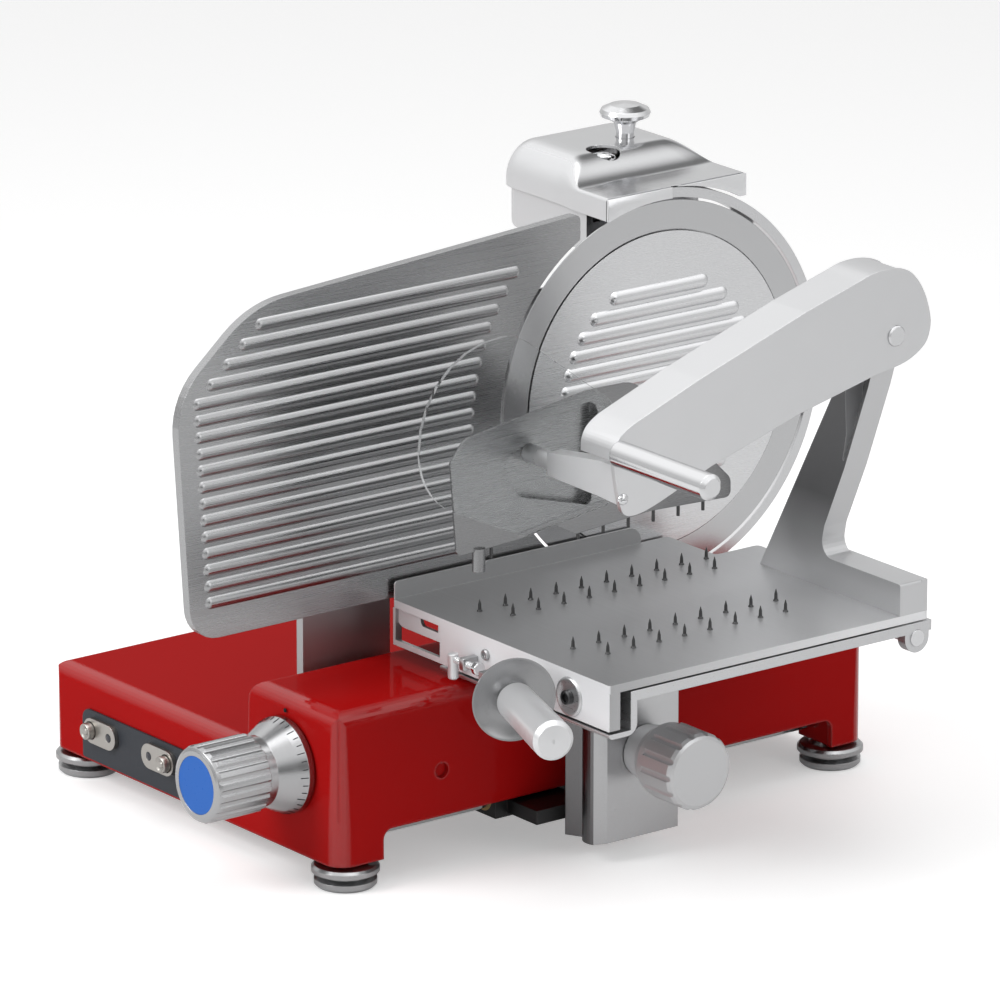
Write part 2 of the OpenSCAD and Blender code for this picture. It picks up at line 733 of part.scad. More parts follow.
// shaft with its pinned pulley
module motor_shaft() {
    color([0.6, 0.61, 0.63]) at_knife() turned_x(motor_y, motor_z, [
        [belt_x0 - 1.5, 0], [belt_x0 - 1.5, motor_pulley_r + 1.5], [belt_x0 - 0.3, motor_pulley_r + 1.5],
        [belt_x0 - 0.3, motor_pulley_r], [belt_x0 + belt_w + 0.3, motor_pulley_r],
        [belt_x0 + belt_w + 0.3, motor_pulley_r + 1.5], [belt_x0 + belt_w + 1.5, motor_pulley_r + 1.5],
        [belt_x0 + belt_w + 1.5, 7], [box_x0 + base_wall + 40, 7], [box_x0 + base_wall + 40, 0]]);
}

module drive_belt() {
    c0 = [motor_y, motor_z];
    c1 = [0, blade_z];
    color([0.08, 0.08, 0.09]) at_knife() along_x(belt_x0, belt_x0 + belt_w) difference() {
        polygon(two_circles(c0, motor_pulley_r + belt_t, c1, hub_pulley_r + belt_t));
        polygon(two_circles(c0, motor_pulley_r + 0.35, c1, hub_pulley_r + 0.35));
    }
}

module slice_deflector() {
    x1 = stand_x1 - 8;
    color([0.78, 0.79, 0.8]) at_knife() along_z(205, 395) polygon(concat(
        arc([x1 - 65, -75], 65, 0, -72, 14), arc([x1 - 65, -75], 63, -72, 0, 14), [[x1 - 2, -52], [x1, -52]]));
}

// carriage

module guide_rod() {
    color([0.78, 0.79, 0.81]) at_knife()
        rod_y(base_y0 + base_wall, base_y1 - base_wall - 3, rail_x, rail_z, rail_r);
}

module support_bar() {
    color([0.72, 0.73, 0.75]) at_knife()
        rod_y(base_y0 + base_wall, base_y1 - base_wall - 3, bar_x, bar_z, bar_r);
}

module carriage_slider() {
    roller_z = bar_z - bar_r - 8.3;
    color([0.6, 0.61, 0.62]) at_knife() difference() {
        union() {
            block(rail_x - 16, rail_x + 16, slider_y0, slider_y1, rail_z - 14, rail_z + 14);
            block(rail_x, column_x0, arm_y0, arm_y1, arch_z - 14, arch_z - 3);
            block(bar_x + bar_r + 3, rail_x, arm_y0, arm_y1, 28, 48);
            rod_x(bar_x - bar_r - 1, bar_x + bar_r + 4, (arm_y0 + arm_y1) / 2, roller_z, 3);
        }
        rod_y(slider_y0 - 1, slider_y1 + 1, rail_x, rail_z, rail_r + 2);
    }
}

module carriage_bushes() {
    color([0.7, 0.55, 0.25]) at_knife() {
        for (y = [slider_y0, slider_y1 - 18]) difference() {
            rod_y(y, y + 18, rail_x, rail_z, rail_r + 2);
            rod_y(y - 1, y + 19, rail_x, rail_z, rail_r + run_fit);
        }
        for (x = [barrel_x0, barrel_x0 + barrel_l - 16]) difference() {
            rod_x(x, x + 16, slide_rod_y, slide_rod_z, slide_rod_r + 2);
            rod_x(x - 1, x + 17, slide_rod_y, slide_rod_z, slide_rod_r + run_fit);
        }
    }
}

module bar_roller() {
    roller_z = bar_z - bar_r - 8.3;
    color([0.2, 0.2, 0.21]) at_knife() difference() {
        rod_x(bar_x - 6, bar_x + 6, (arm_y0 + arm_y1) / 2, roller_z, 8);
        rod_x(bar_x - 7, bar_x + 7, (arm_y0 + arm_y1) / 2, roller_z, 3 + run_fit);
    }
}

module carriage_column() {
    color([0.55, 0.56, 0.58]) at_knife() difference() {
        along_z(column_z0, 152) polygon(concat(
            [[column_x1, column_y1], [column_x0, column_y1], [column_x0, column_y0]],
            arc([column_x0 + 26, column_y0 + 14.5], 14.5, -150, -62, 8),
            [[column_x1, column_y0 + 12]]));
        rod_x(column_x0 - 1, column_x1 + 1, lock_y, lock_z, 6 + run_fit);
    }
}

// beam under the table with the barrel of the slide rod at its rear end
module carriage_head() {
    color([0.55, 0.56, 0.58]) at_knife() difference() {
        union() {
            along_z(152, 165) polygon(rounded([
                [column_x0 - 6, -224, 6], [column_x1, -224, 6], [column_x1, 30, 0], [barrel_x0, 30, 0],
                [barrel_x0, 20, 0], [column_x0 - 6, 20, 0]]));
            rod_x(barrel_x0, barrel_x0 + barrel_l, slide_rod_y, slide_rod_z, slide_rod_r + 5);
        }
        rod_x(barrel_x0 - 1, barrel_x0 + barrel_l + 1, slide_rod_y, slide_rod_z, slide_rod_r + 2);
        block(column_x0 + 8, column_x0 + 20, -216, -196, 151, 166);
    }
    color([0.55, 0.56, 0.58]) at_knife() rod_x(column_x0 + 8, column_x0 + 20, -206, support_z0 - 8.3, 3);
}

module head_roller() {
    color([0.2, 0.2, 0.21]) at_knife() difference() {
        rod_x(column_x0 + 8.5, column_x0 + 19.5, -206, support_z0 - 8.3, 8);
        rod_x(column_x0 + 7, column_x0 + 21, -206, support_z0 - 8.3, 3 + run_fit);
    }
}

// knob and clamping screw are one turned piece
module lock_knob() {
    face = column_x1 + lock_l;
    color([0.78, 0.79, 0.81]) at_knife() {
        translate([face, lock_y, 0]) rotate([0, 0, 90]) fluted(0, 36, 0, lock_z, lock_r, 14, 1.8, 2.8);
        turned_x(lock_y, lock_z, [[column_x0 - 15, 0], [column_x0 - 15, 5], [column_x0 - 14, 6],
            [column_x1 + 0.6, 6], [column_x1 + 0.6, 20], [face - 50, 24], [face - 42, lock_r0],
            [face - 36, lock_r0], [face - 36, 0]]);
    }
}

// meat table

module tray() {
    color([0.8, 0.81, 0.82]) at_knife() {
        along_z(table_under, table_z) polygon(rounded([
            [table_x0, table_y0, 2], [table_x1, table_y0, 2], [table_x1, table_y1, 6], [notch_x, table_y1, 4],
            [notch_x, notch_y, 4], [table_x0, notch_y, 2]]));
        along_y(table_y0, table_y0 + lip_t) polygon(rounded([
            [lip_plate_x0, table_under, 0], [lip_plate_x0, lip_z, 1], [table_x1, lip_z, 1],
            [table_x1, table_under, 0]]));
        // set back end of the lip with a slot, and the strip below it
        along_y(table_y0 + 3, table_y0 + 6) difference() {
            polygon(rounded([
                [table_x0, table_under, 0], [table_x0, lip_z + 15, 10], [lip_plate_x0 + 1, lip_z + 15, 0],
                [lip_plate_x0 + 1, table_under, 0]]));
            translate([lip_plate_x0 - 24, lip_z + 22]) square([18, 8]);
            translate([lip_plate_x0 - 24, lip_z + 26]) circle(r = 4);
        }
        block(table_x0, lip_plate_x0 + 1, table_y0, table_y0 + 3, lip_z, lip_z + 4.5);
        block(table_x0, table_x0 + 3, table_y0, table_y0 + 6, lip_z, table_under);
        // upright strip beside the gauge plate
        along_x(table_x0, table_x0 + 1.5) polygon(rounded([
            [table_y0 + 1, table_z - 1, 0], [-19, table_z - 1, 0], [-19, table_z + fence_h, fence_h - 2],
            [table_y0 + 1, table_z + fence_h, 3]]));
    }
}

module table_support() {
    z1 = support_z0;
    rear = slide_rod_y + 14;
    color([0.7, 0.71, 0.73]) at_knife() difference() {
        union() {
            along_z(support_z0, support_z1) polygon([
                [support_x0, table_y0 + 20], [table_x1, table_y0 + 20], [table_x1, rear],
                [table_x1 - lug_w, rear], [table_x1 - lug_w, 22], [support_x0 + lug_w, 22],
                [support_x0 + lug_w, rear], [support_x0, rear]]);
            for (x = [support_x0, table_x1 - lug_w]) {
                rod_x(x, x + lug_w, slide_rod_y, slide_rod_z, slide_rod_r + 5);
                block(x, x + lug_w, slide_rod_y - slide_rod_r - 5, slide_rod_y + slide_rod_r + 5,
                    slide_rod_z, support_z0 + 1);
            }
            // folded channel behind and below the lip
            along_x(support_x0, table_x1) polygon(rounded([
                [table_y0 + 26, support_z0, 0], [table_y0 + 20, support_z0, 0],
                [table_y0 + 20, channel_z0 + 4, 0], [table_y0, channel_z0 + 4, 0], [table_y0, channel_z0, 3],
                [table_y0 + 26, channel_z0, 9]]));
            for (x = [support_x0 + 20, table_x1 - 30]) for (y = [-200, 0])
                rod_z(support_z1, table_under, x, y, 9);
        }
        for (x = [support_x0, table_x1 - lug_w])
            rod_x(x - 1, x + lug_w + 1, slide_rod_y, slide_rod_z, slide_rod_r);
    }
}

module slide_rod() {
    color([0.78, 0.79, 0.81]) at_knife()
        rod_x(support_x0, table_x1 + 1, slide_rod_y, slide_rod_z, slide_rod_r);
}

module spike_row(x, y0, count) {
    for (i = [0:count - 1])
        turned_z(x, y0 + i * spike_pitch, [[table_z, 0], [table_z, spike_r], [table_z + spike_h - 4, spike_r],
            [table_z + spike_h, 0.2], [table_z + spike_h, 0]]);
}

module table_spikes() {
    color([0.6, 0.61, 0.63]) at_knife() {
        spike_row(67, -223, 10);
        spike_row(90, -209, 9);
        spike_row(182, -223, 9);
        spike_row(207.5, -210, 8);
    }
}

module handle_grip() {
    color([0.8, 0.81, 0.82]) at_knife() translate(handle_c) rotate([0, 0, handle_turn])
        turned_x(0, 0, [[6, 0], [6, 12], [10, 14.5], [90, 15.5], [104, 15.5], [108, 12.5], [109, 0]]);
}

module hand_disc() {
    color([0.75, 0.76, 0.78]) at_knife() translate(handle_c) rotate([0, 0, handle_turn])
        turned_x(0, 0, [[2, 0], [2, 32], [6, 32.5], [6, 0]]);
}

module handle_bracket() {
    color([0.6, 0.61, 0.63]) at_knife() difference() {
        union() {
            translate(handle_c) rotate([0, 0, handle_turn])
                turned_x(0, 0, [[-24, 0], [-24, 8], [-18, 10], [2, 10], [2, 0]]);
            block(154, 182, handle_c.y + 1, table_y0, handle_c.z - 9, handle_c.z + 9);
        }
        block(120, 195, table_y0, table_y0 + 40, 120, 200);
    }
}

module lip_fittings() {
    color([0.65, 0.66, 0.68]) at_knife() {
        rod_y(table_y0 - 16, table_y0, 74, lip_z + 12, 3);
        rod_y(table_y0 - 3, table_y0, 74, lip_z + 12, 6);
        rod_y(table_y0 - 3, table_y0, 218, lip_z + 14, 8);
    }
}

module post() {
    y0 = pivot_y - post_t / 2;
    y1 = pivot_y + post_t / 2;
    color([0.62, 0.63, 0.65]) at_knife() difference() {
        union() {
            along_y(y0, y1) polygon(rounded([
                [102, table_z, 0], [table_x1, table_z, 0], [table_x1, table_z + 25, 2],
                [174, table_z + 25, 12], [179, 235, 14], [202, 286, 40], [229, 356, 30], [241, pivot_z - 6, 4],
                [241, pivot_z + 4, 0], [214.5, pivot_z + 4, 0], [214.5, 385, 6], [189, 344, 24]]));
            block(124, table_x1, y1 - 1, y1 + 4.5, table_z, table_z + 25);
            rod_x(213, 242, pivot_y, pivot_z, 15);
        }
        // triangular pocket in the front face
        along_y(y0 - 3, y1 - 5) polygon(rounded([
            [211, 374, 1], [231, 374, 1], [213, 322, 8], [198, 282, 1], [204, 314, 20], [202, 346, 14]]));
        rod_x(210, 245, pivot_y, pivot_z, pivot_r);
    }
}

module pivot_pin() {
    color([0.75, 0.76, 0.78]) at_knife() turned_x(pivot_y, pivot_z, [
        [arm_x0 - 2, 0], [arm_x0 - 2, pivot_r - 1], [arm_x0 - 1, pivot_r], [arm_x1 + 1, pivot_r],
        [arm_x1 + 2, pivot_r - 1], [arm_x1 + 2, 0]]);
}

// swing arm and press

arm_top = [[-236.5, 349], [-236, 358], [-231.5, 366.5], [-222, 373.2], [-207.7, 379], [-156.4, 398.5],
    [-56.3, 432.5], [-4.7, 447.6], [8, 451.2], [21.3, 452.2], [33, 451], [43.4, 447.6], [53, 438], [60.5, 424],
    [65, 405.4], [62, 391.5], [54, 383.5], [41.9, 377.6], [27.4, 374.3], [9.9, 371.5], [-61.5, 354.7],
    [-144.7, 329.5], [-190.5, 311.8], [-207, 306.5], [-218, 304.8], [-226, 306.5], [-230, 313], [-234.5, 334],
    [-236.5, 349]];

// smooth outline through the points of the arm, straight where they lie far apart
function smooth(p, n = 4) = [for (i = [0:len(p) - 2]) each
    norm(p[i + 1] - p[i]) > 25 ? [p[i]] :
    let (
        a = i > 0 ? (p[i + 1] - p[i - 1]) / 2 : p[1] - p[0],
        b = i < len(p) - 2 ? (p[i + 2] - p[i]) / 2 : p[i + 1] - p[i],
        l = norm(p[i + 1] - p[i]),
        u = a * min(1, l / norm(a)),
        v = b * min(1, l / norm(b))
    )
    [for (k = [0:n - 1]) let (t = k / n)
        (2 * t ^ 3 - 3 * t ^ 2 + 1) * p[i] + (t ^ 3 - 2 * t ^ 2 + t) * u
        + (3 * t ^ 2 - 2 * t ^ 3) * p[i + 1] + (t ^ 3 - t ^ 2) * v]];

module swing_arm() {
    web_z = 349;
    inner = concat([[-245, 290], [-245, web_z], [-231, web_z], [-231, 361]],
        [for (i = [4:8]) arm_top[i] + [1.6, -arm_wall]], [[33, 447], [37, 470], [120, 470], [120, 290]]);
    color([0.8, 0.81, 0.83]) at_knife() difference() {
        along_x(arm_x0, arm_x1) polygon(smooth(arm_top));
        along_x(arm_x0 + arm_wall, arm_x1 - arm_wall) polygon(inner);
        // the inner wall ends at the pivot so that the raised arm passes the post
        difference() {
            block(arm_x0 - 1, arm_x0 + arm_wall + 1, 6, 80, 360, 470);
            rod_x(arm_x0 - 2, arm_x0 + arm_wall + 2, pivot_y, pivot_z, 15);
            along_x(arm_x0 - 2, arm_x0 + arm_wall + 2) polygon([[0, 390], [pivot_y, 386], [pivot_y + 13, 404],
                [48, 470], [0, 470]]);
        }
        // way in for the press block under the web
        block(arm_x0 - 1, arm_x0 + arm_wall + 1, -260, press_y + 24, 290, web_z);
        rod_x(arm_x0 - 1, arm_x1 + 1, pivot_y, pivot_z, pivot_r + run_fit);
        rod_x(arm_x1 - arm_wall - 1, arm_x1 - 1.5, press_y, press_z, press_r + run_fit);
    }
}

module arm_handle() {
    z = 354.5;
    y = -231;
    color([0.78, 0.79, 0.81]) at_knife() turned_x(y, z, [[arm_x1, 0], [arm_x1, arm_handle_r],
        [arm_x1 + arm_handle_l - 3, arm_handle_r], [arm_x1 + arm_handle_l, arm_handle_r - 3],
        [arm_x1 + arm_handle_l, 0]]);
}

// shaft with the block that turns in the arm's open nose
module press_shaft() {
    block_x0 = press_x + 24;
    block_x1 = arm_x1 - arm_wall - slide_gap;
    color([0.78, 0.79, 0.81]) at_knife() {
        turned_x(press_y, press_z, [[press_x - 10, 0], [press_x - 10, press_r], [arm_x1 - 2, press_r],
            [arm_x1 - 2, 0]]);
        along_y(press_y - press_r, press_y + press_r) polygon([
            [block_x0, press_z - 9], [arm_x0, press_z - 10], [block_x1, press_z - 12], [block_x1, press_z + 18],
            [arm_x0, press_z + 17.5], [block_x0, press_z + 9]]);
    }
}

module press_outline() {
    polygon(rounded([
        [-293.7, 329, 3], [-287.2, press_bottom_z + 1, 5], [-227.5, press_bottom_z + 4, 8],
        [-197.9, press_bottom_z + 10, 12], [-175.8, press_bottom_z - 2, 8], [-104.2, press_bottom_z + 3, 10],
        [-26.7, press_bottom_z, 5], [-26.8, 269, 10], [-120, 362, 26], [-166.5, 362.6, 40], [-280.5, 345.3, 14]]));
}

// rounded triangle of the dish, d is how far it is widened
module dish_outline(d) {
    polygon(rounded([[-152 + d, 361 + d, 12 + d], [-253 - d, 322 + d, 14 + d], [-231 - d, 289 - d, 14 + d],
        [-160 + d, 270.5 - d, 6 + d]]));
}

// pressed sheet with a dish on the shaft and a peg at its lower corner
module press_plate() {
    dish_d = 10;
    color([0.72, 0.73, 0.75]) at_knife() difference() {
        union() {
            along_x(press_x, press_x + press_t) press_outline();
            along_x(press_x - dish_d, press_x) dish_outline(0);
            rod_z(press_bottom_z - 14, press_bottom_z + 4, press_x + press_t / 2, -266.4, 5);
        }
        along_x(press_x - dish_d + press_t, press_x + press_t + 1) dish_outline(-press_t);
        rod_x(press_x - 13, press_x + 5, press_y, press_z, press_r);
    }
}

// short teeth behind the lower edge of the press plate
module press_spikes() {
    color([0.6, 0.61, 0.63]) at_knife() for (y = [-253, -171, -147, -123, -99, -75, -51])
        rod_z(press_bottom_z - 7, press_bottom_z + 12, press_x - 1.3, y, 1.3);
}

module hand_guard() {
    x0 = press_x + press_t + 3;
    color([0.85, 0.9, 0.92, 0.4]) at_knife() difference() {
        along_x(x0, x0 + guard_t) polygon(rounded([
            [-326, 307, guard_r], [-326, 421.5, 75], [-236, 419.5, 36], [-145, 351.5, 15], [-145, 272.5, 8],
            [-166, 269.6, 0], [-228, 261, 10]]));
        rod_x(x0 - 1, x0 + guard_t + 1, press_y, press_z, press_r);
    }
}

// sharpener

module cap_outline(d) {
    polygon(rounded([
        [cap_x1 - d, 449 - 2 * d, 0], [cap_x1 - d, flange_z - d, 2], [-34, flange_z - d, 14],
        [-62, cap_z - d, 20], [-100, cap_z - d, 30], [-126, 473 - d, 18], [cap_x0 + d, 462 - d, 6],
        [cap_x0 + d, 449 - 2 * d, 0]]));
}

// the hump is rounded along both sides, the front flange is as wide as the cap
module cap_sides(d) {
    along_x(cap_x0 - 1, -12) polygon(rounded([
        [cap_y0 + 3 + d, 430, 0], [cap_y0 + 3 + d, cap_z + 1 - d, 26 - d], [cap_y1 - 3 - d, cap_z + 1 - d, 26 - d],
        [cap_y1 - 3 - d, 430, 0]]));
    block(-30, cap_x1 + 1, cap_y0 - 1, cap_y1 + 1, 430, flange_z + 2);
}

module sharpener_cap() {
    color([0.72, 0.73, 0.75]) at_knife() difference() {
        intersection() {
            along_y(cap_y0, cap_y1) cap_outline(0);
            cap_sides(0);
            along_z(440, 500) polygon(rounded([
                [cap_x0, cap_y0, 26], [cap_x1, cap_y0, 3], [cap_x1, cap_y1, 6], [cap_x0, cap_y1, 26]]));
        }
        intersection() {
            along_y(cap_y0 + cap_wall, cap_y1 - cap_wall) cap_outline(cap_wall);
            cap_sides(cap_wall);
            along_z(430, 500) polygon(rounded([
                [cap_x0 + cap_wall, cap_y0 + cap_wall, 22], [cap_x1 - 3, cap_y0 + cap_wall, 2],
                [cap_x1 - 3, cap_y1 - cap_wall, 2], [cap_x0 + cap_wall, cap_y1 - cap_wall, 22]]));
        }
        // arched lower edge over the knife and its ring guard
        intersection() {
            rod_x(-24, cap_x1 + 1, 0, blade_z, blade_r + 3);
            block(-25, cap_x1 + 2, cap_y0 - 1, 9, 440, 470);
        }
        intersection() {
            rod_x(-24, cap_x1 + 1, 0, blade_z, ring_out + 2);
            block(-25, cap_x1 + 2, 8.9, cap_y1 + 1, 440, 470);
        }
        rod_z(470, 500, lift_x, lift_y, 7.5);
        rod_z(462, 500, button_hole[0], button_hole[1], 13.5);
    }
    // cup that guides the release pin
    color([0.72, 0.73, 0.75]) at_knife() difference() {
        intersection() {
            rod_z(463, 500, button_hole[0], button_hole[1], 13.5);
            along_y(cap_y0, cap_y1) cap_outline(0);
        }
        rod_z(466, 501, button_hole[0], button_hole[1], 12);
        rod_z(462, 467, button_hole[0], button_hole[1], 4 + run_fit);
    }
}

// box under the cap, rounded at its outer front corner
module base_plan(d) {
    along_z(410, 460) polygon(rounded([
        [cap_x0 + cap_wall + 1 + d, cap_y0 + cap_wall + 3.5 + d, 20 - d], [-30 - d, cap_y0 + cap_wall + 3.5 + d, 0],
        [-30 - d, cap_y1 - 18 - d, 0], [cap_x0 + cap_wall + 1 + d, cap_y1 - 18 - d, 12 - d]]));
}

module sharpener_base() {
    color([0.6, 0.61, 0.63]) at_knife() difference() {
        intersection() {
            along_y(cap_y0, cap_y1) polygon(rounded([
                [cap_x0 + cap_wall, 456, 0], [cap_x0 + cap_wall, 440, 0], [-131, 417, 18], [-29, 417, 0],
                [-29, 456, 0]]));
            base_plan(0);
        }
        intersection() {
            along_y(cap_y0, cap_y1) polygon(rounded([
                [cap_x0 + cap_wall, 457, 0], [cap_x0 + cap_wall, 441, 0], [-129, 421, 14], [-29, 421, 0],
                [-29, 457, 0]]));
            base_plan(4);
        }
        for (y = stone_y) block(-35, -29, y - 5, y + 5, stone_z - 7 - lift_travel, 457);
    }
}

module stone_carrier() {
    color([0.7, 0.71, 0.73]) at_knife() {
        block(lift_x - 12, -37, stone_y[0] - 3, lift_y + 12, stone_z - 6, stone_z + 5);
        for (y = stone_y) rod_x(-37, -8, y, stone_z, 3);
        rod_z(stone_z + 5, cap_z - 8, lift_x, lift_y, 6);
    }
}

module lift_knob() {
    color([0.78, 0.79, 0.81]) at_knife() turned_z(lift_x, lift_y, [
        [cap_z - 8, 0], [cap_z - 8, 7], [cap_z + 6, 7], [cap_z + 14, 9], [lift_knob_z - 12, 14],
        [lift_knob_z - 10, lift_knob_r - 1], [lift_knob_z - 7, lift_knob_r], [lift_knob_z - 4, lift_knob_r - 1.5],
        [lift_knob_z - 1, lift_knob_r - 8], [lift_knob_z, 0]]);
}

module stone(i) {
    difference() {
        turned_x(stone_y[i], stone_z, [[-29, 0], [-29, 5], [-18, 5], [-18, stone_r - 1], [-17, stone_r],
            [-9.5, stone_r], [-8.5, stone_r - 1], [-8.5, 0]]);
        rod_x(-30, -7, stone_y[i], stone_z, 3 + run_fit);
    }
}

module grinding_stone() {
    color([0.55, 0.5, 0.45]) at_knife() stone(0);
}

module honing_stone() {
    color([0.8, 0.78, 0.74]) at_knife() stone(1);
}

module release_pin() {
    color([0.78, 0.79, 0.81]) at_knife() turned_z(button_hole[0], button_hole[1], [
        [462, 0], [462, 4], [cap_z - 11, 4], [cap_z - 11, 6], [cap_z - 3, 6], [cap_z - 1, 4.5], [cap_z - 0.5, 0]]);
}

base_casting();
feet();
control_panel();
switch_bezels();
start_button();
stop_button();
indicator_lenses();
dial_knob();
dial_insert();
dial_shaft();
thickness_cam();
gauge_slide();
gauge_rods();
gauge_rod_lugs();
gauge_bracket();
gauge_plate();
blade();
blade_shaft();
hub_pulley();
hub_bearings();
blade_support();
ring_guard();
blade_cover();
cover_nut();
motor_body();
motor_shaft();
drive_belt();
slice_deflector();
guide_rod();
support_bar();
carriage_slider();
carriage_bushes();
bar_roller();
carriage_column();
carriage_head();
head_roller();
lock_knob();
tray();
table_support();
slide_rod();
table_spikes();
handle_grip();
hand_disc();
handle_bracket();
lip_fittings();
post();
pivot_pin();
swing_arm();
arm_handle();
press_shaft();
press_plate();
press_spikes();
hand_guard();
sharpener_cap();
sharpener_base();
stone_carrier();
lift_knob();
grinding_stone();
honing_stone();
release_pin();
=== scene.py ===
import math

import bpy
from mathutils import Matrix, Vector


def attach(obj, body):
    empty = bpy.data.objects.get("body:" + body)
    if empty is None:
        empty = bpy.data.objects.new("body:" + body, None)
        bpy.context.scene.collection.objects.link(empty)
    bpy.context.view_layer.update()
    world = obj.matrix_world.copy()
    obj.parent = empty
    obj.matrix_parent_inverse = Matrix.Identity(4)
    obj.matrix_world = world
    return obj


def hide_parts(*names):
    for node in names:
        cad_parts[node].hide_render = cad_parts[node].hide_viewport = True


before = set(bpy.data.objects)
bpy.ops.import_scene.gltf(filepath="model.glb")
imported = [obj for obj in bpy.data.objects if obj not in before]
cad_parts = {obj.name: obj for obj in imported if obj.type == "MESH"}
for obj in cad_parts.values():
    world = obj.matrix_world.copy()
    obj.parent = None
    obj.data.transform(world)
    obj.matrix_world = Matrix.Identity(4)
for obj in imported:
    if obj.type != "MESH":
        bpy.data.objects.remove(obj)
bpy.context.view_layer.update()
bpy.ops.object.select_all(action="DESELECT")
print("frame loaded")

mm = 0.001
knife = Vector((-0.036, 0.151, 0.0))   # the knife's face and axis in the frame


def place(x, y, z):
    # millimetres from the knife and the floor to metres in the frame
    return Vector((x, y, z)) * mm + knife


# node helpers for the materials and the world

noiseRange = (0.3, 0.7)         # most of a noise lies between these
noiseRoughness = 0.55
facingFront = (-0.3, -0.7)      # y of a normal where a face begins to look to the front, and fully does
flatToCorner = (0.985, 0.93)    # largest side of a normal on a flat, and round a corner
bevelSamples = 4


def setOrLink(links, value, socket):
    # a plain value is written in, the output of another node is linked
    if isinstance(value, bpy.types.NodeSocket):
        links.new(value, socket)
    else:
        socket.default_value = value


def onObject(nodes):
    return nodes.new("ShaderNodeTexCoord").outputs["Object"]


def axesOf(nodes, links, source):
    split = nodes.new("ShaderNodeSeparateXYZ")
    links.new(source, split.inputs["Vector"])
    return split.outputs


def noiseOn(nodes, links, stretch, detail=3.0):
    mapping = nodes.new("ShaderNodeMapping")
    mapping.inputs["Scale"].default_value = stretch
    links.new(onObject(nodes), mapping.inputs["Vector"])
    noise = nodes.new("ShaderNodeTexNoise")
    noise.inputs["Scale"].default_value = 1.0
    noise.inputs["Detail"].default_value = detail
    noise.inputs["Roughness"].default_value = noiseRoughness
    links.new(mapping.outputs["Vector"], noise.inputs["Vector"])
    return noise.outputs["Fac"]


def rampOf(nodes, links, source, limits, low=0.0, high=1.0):
    # low where the source is at the first limit, high at the second
    ramp = nodes.new("ShaderNodeMapRange")
    ramp.inputs["From Min"].default_value, ramp.inputs["From Max"].default_value = limits
    ramp.inputs["To Min"].default_value = low
    ramp.inputs["To Max"].default_value = high
    links.new(source, ramp.inputs["Value"])
    return ramp.outputs["Result"]


def mixed(nodes, links, factor, low, high, kind="FLOAT", blend="MIX"):
    # goes from low to high with the factor
    mix = nodes.new("ShaderNodeMix")
    mix.data_type = kind
    mix.blend_type = blend
    for socket, value in (("Factor", factor), ("A", low), ("B", high)):
        setOrLink(links, value, mix.inputs[socket])
    return mix.outputs["Result"]


def shadeOf(nodes, links, factor, dark, light):
    return mixed(nodes, links, factor, (*dark, 1), (*light, 1), "RGBA")


def worked(nodes, links, operation, first, second):
    maths = nodes.new("ShaderNodeMath")
    maths.operation = operation
    links.new(first, maths.inputs[0])
    links.new(second, maths.inputs[1])
    return maths.outputs["Value"]


def dotWith(nodes, links, source, direction):
    # how far a place or a ray lies in a direction
    dot = nodes.new("ShaderNodeVectorMath")
    dot.operation = "DOT_PRODUCT"
    links.new(source, dot.inputs[0])
    dot.inputs[1].default_value = direction
    return dot.outputs["Value"]


def roundedNormal(nodes, radius):
    # softens the sharp edges of the solids
    rounded = nodes.new("ShaderNodeBevel")
    rounded.samples = bevelSamples
    rounded.inputs["Radius"].default_value = radius
    return rounded.outputs["Normal"]


def frontMask(nodes, links):
    # one on faces that look to the front, zero elsewhere
    normal = nodes.new("ShaderNodeNewGeometry").outputs["Normal"]
    return rampOf(nodes, links, axesOf(nodes, links, normal)["Y"], facingFront)


def cornerMask(nodes, links, radius):
    # one where the skin turns round a corner of a boxy casting, zero on its flats
    size = nodes.new("ShaderNodeVectorMath")
    size.operation = "ABSOLUTE"
    links.new(roundedNormal(nodes, radius), size.inputs[0])
    sides = axesOf(nodes, links, size.outputs["Vector"])
    largest = worked(nodes, links, "MAXIMUM", sides["X"], sides["Y"])
    largest = worked(nodes, links, "MAXIMUM", largest, sides["Z"])
    return rampOf(nodes, links, largest, flatToCorner)


# materials: metals, painted and plastic skins, one clear sheet

evenGrain = (2600, 2600, 2600)
alongY = (1400, 9, 1400)       # brushed along the axis whose stretch is small
alongX = (9, 1400, 1400)
coolBlue = 1.02                # bare metal is a touch blue
allHeights = (-2.0, -1.0)      # both are below the floor
towardsRight = (1, 1, 0)

# what a look leaves unsaid; lengths in metres
plainMetal = {"metallic": 1.0, "tint": (1.0, 1.005, coolBlue), "mottle": 0.05, "cloud": 13,
              "brush": evenGrain, "roughSpread": 0.04, "bump": 0.1, "depth": 0.00002, "edge": 0.0007}
plainSkin = {"mottle": 0.06, "cloud": 9, "peel": 260, "roughSpread": 0.03, "specular": 0.5, "coat": 0.0,
             "coatRough": 0.05, "bump": 0.05, "depth": 0.00005, "edge": 0.0008}


def newMaterial(name):
    mat = bpy.data.materials.new(name)
    mat.use_nodes = True
    return mat, mat.node_tree.nodes, mat.node_tree.links, mat.node_tree.nodes["Principled BSDF"]


def cloudedColour(nodes, links, colour, look):
    cloud = noiseOn(nodes, links, (look["cloud"],) * 3, 2.0)
    return shadeOf(nodes, links, cloud, tuple(c * (1 - look["mottle"]) for c in colour), colour)


def unevenRough(nodes, links, noise, look):
    spread = look["roughSpread"]
    return rampOf(nodes, links, noise, noiseRange, look["rough"] - spread, look["rough"] + spread)


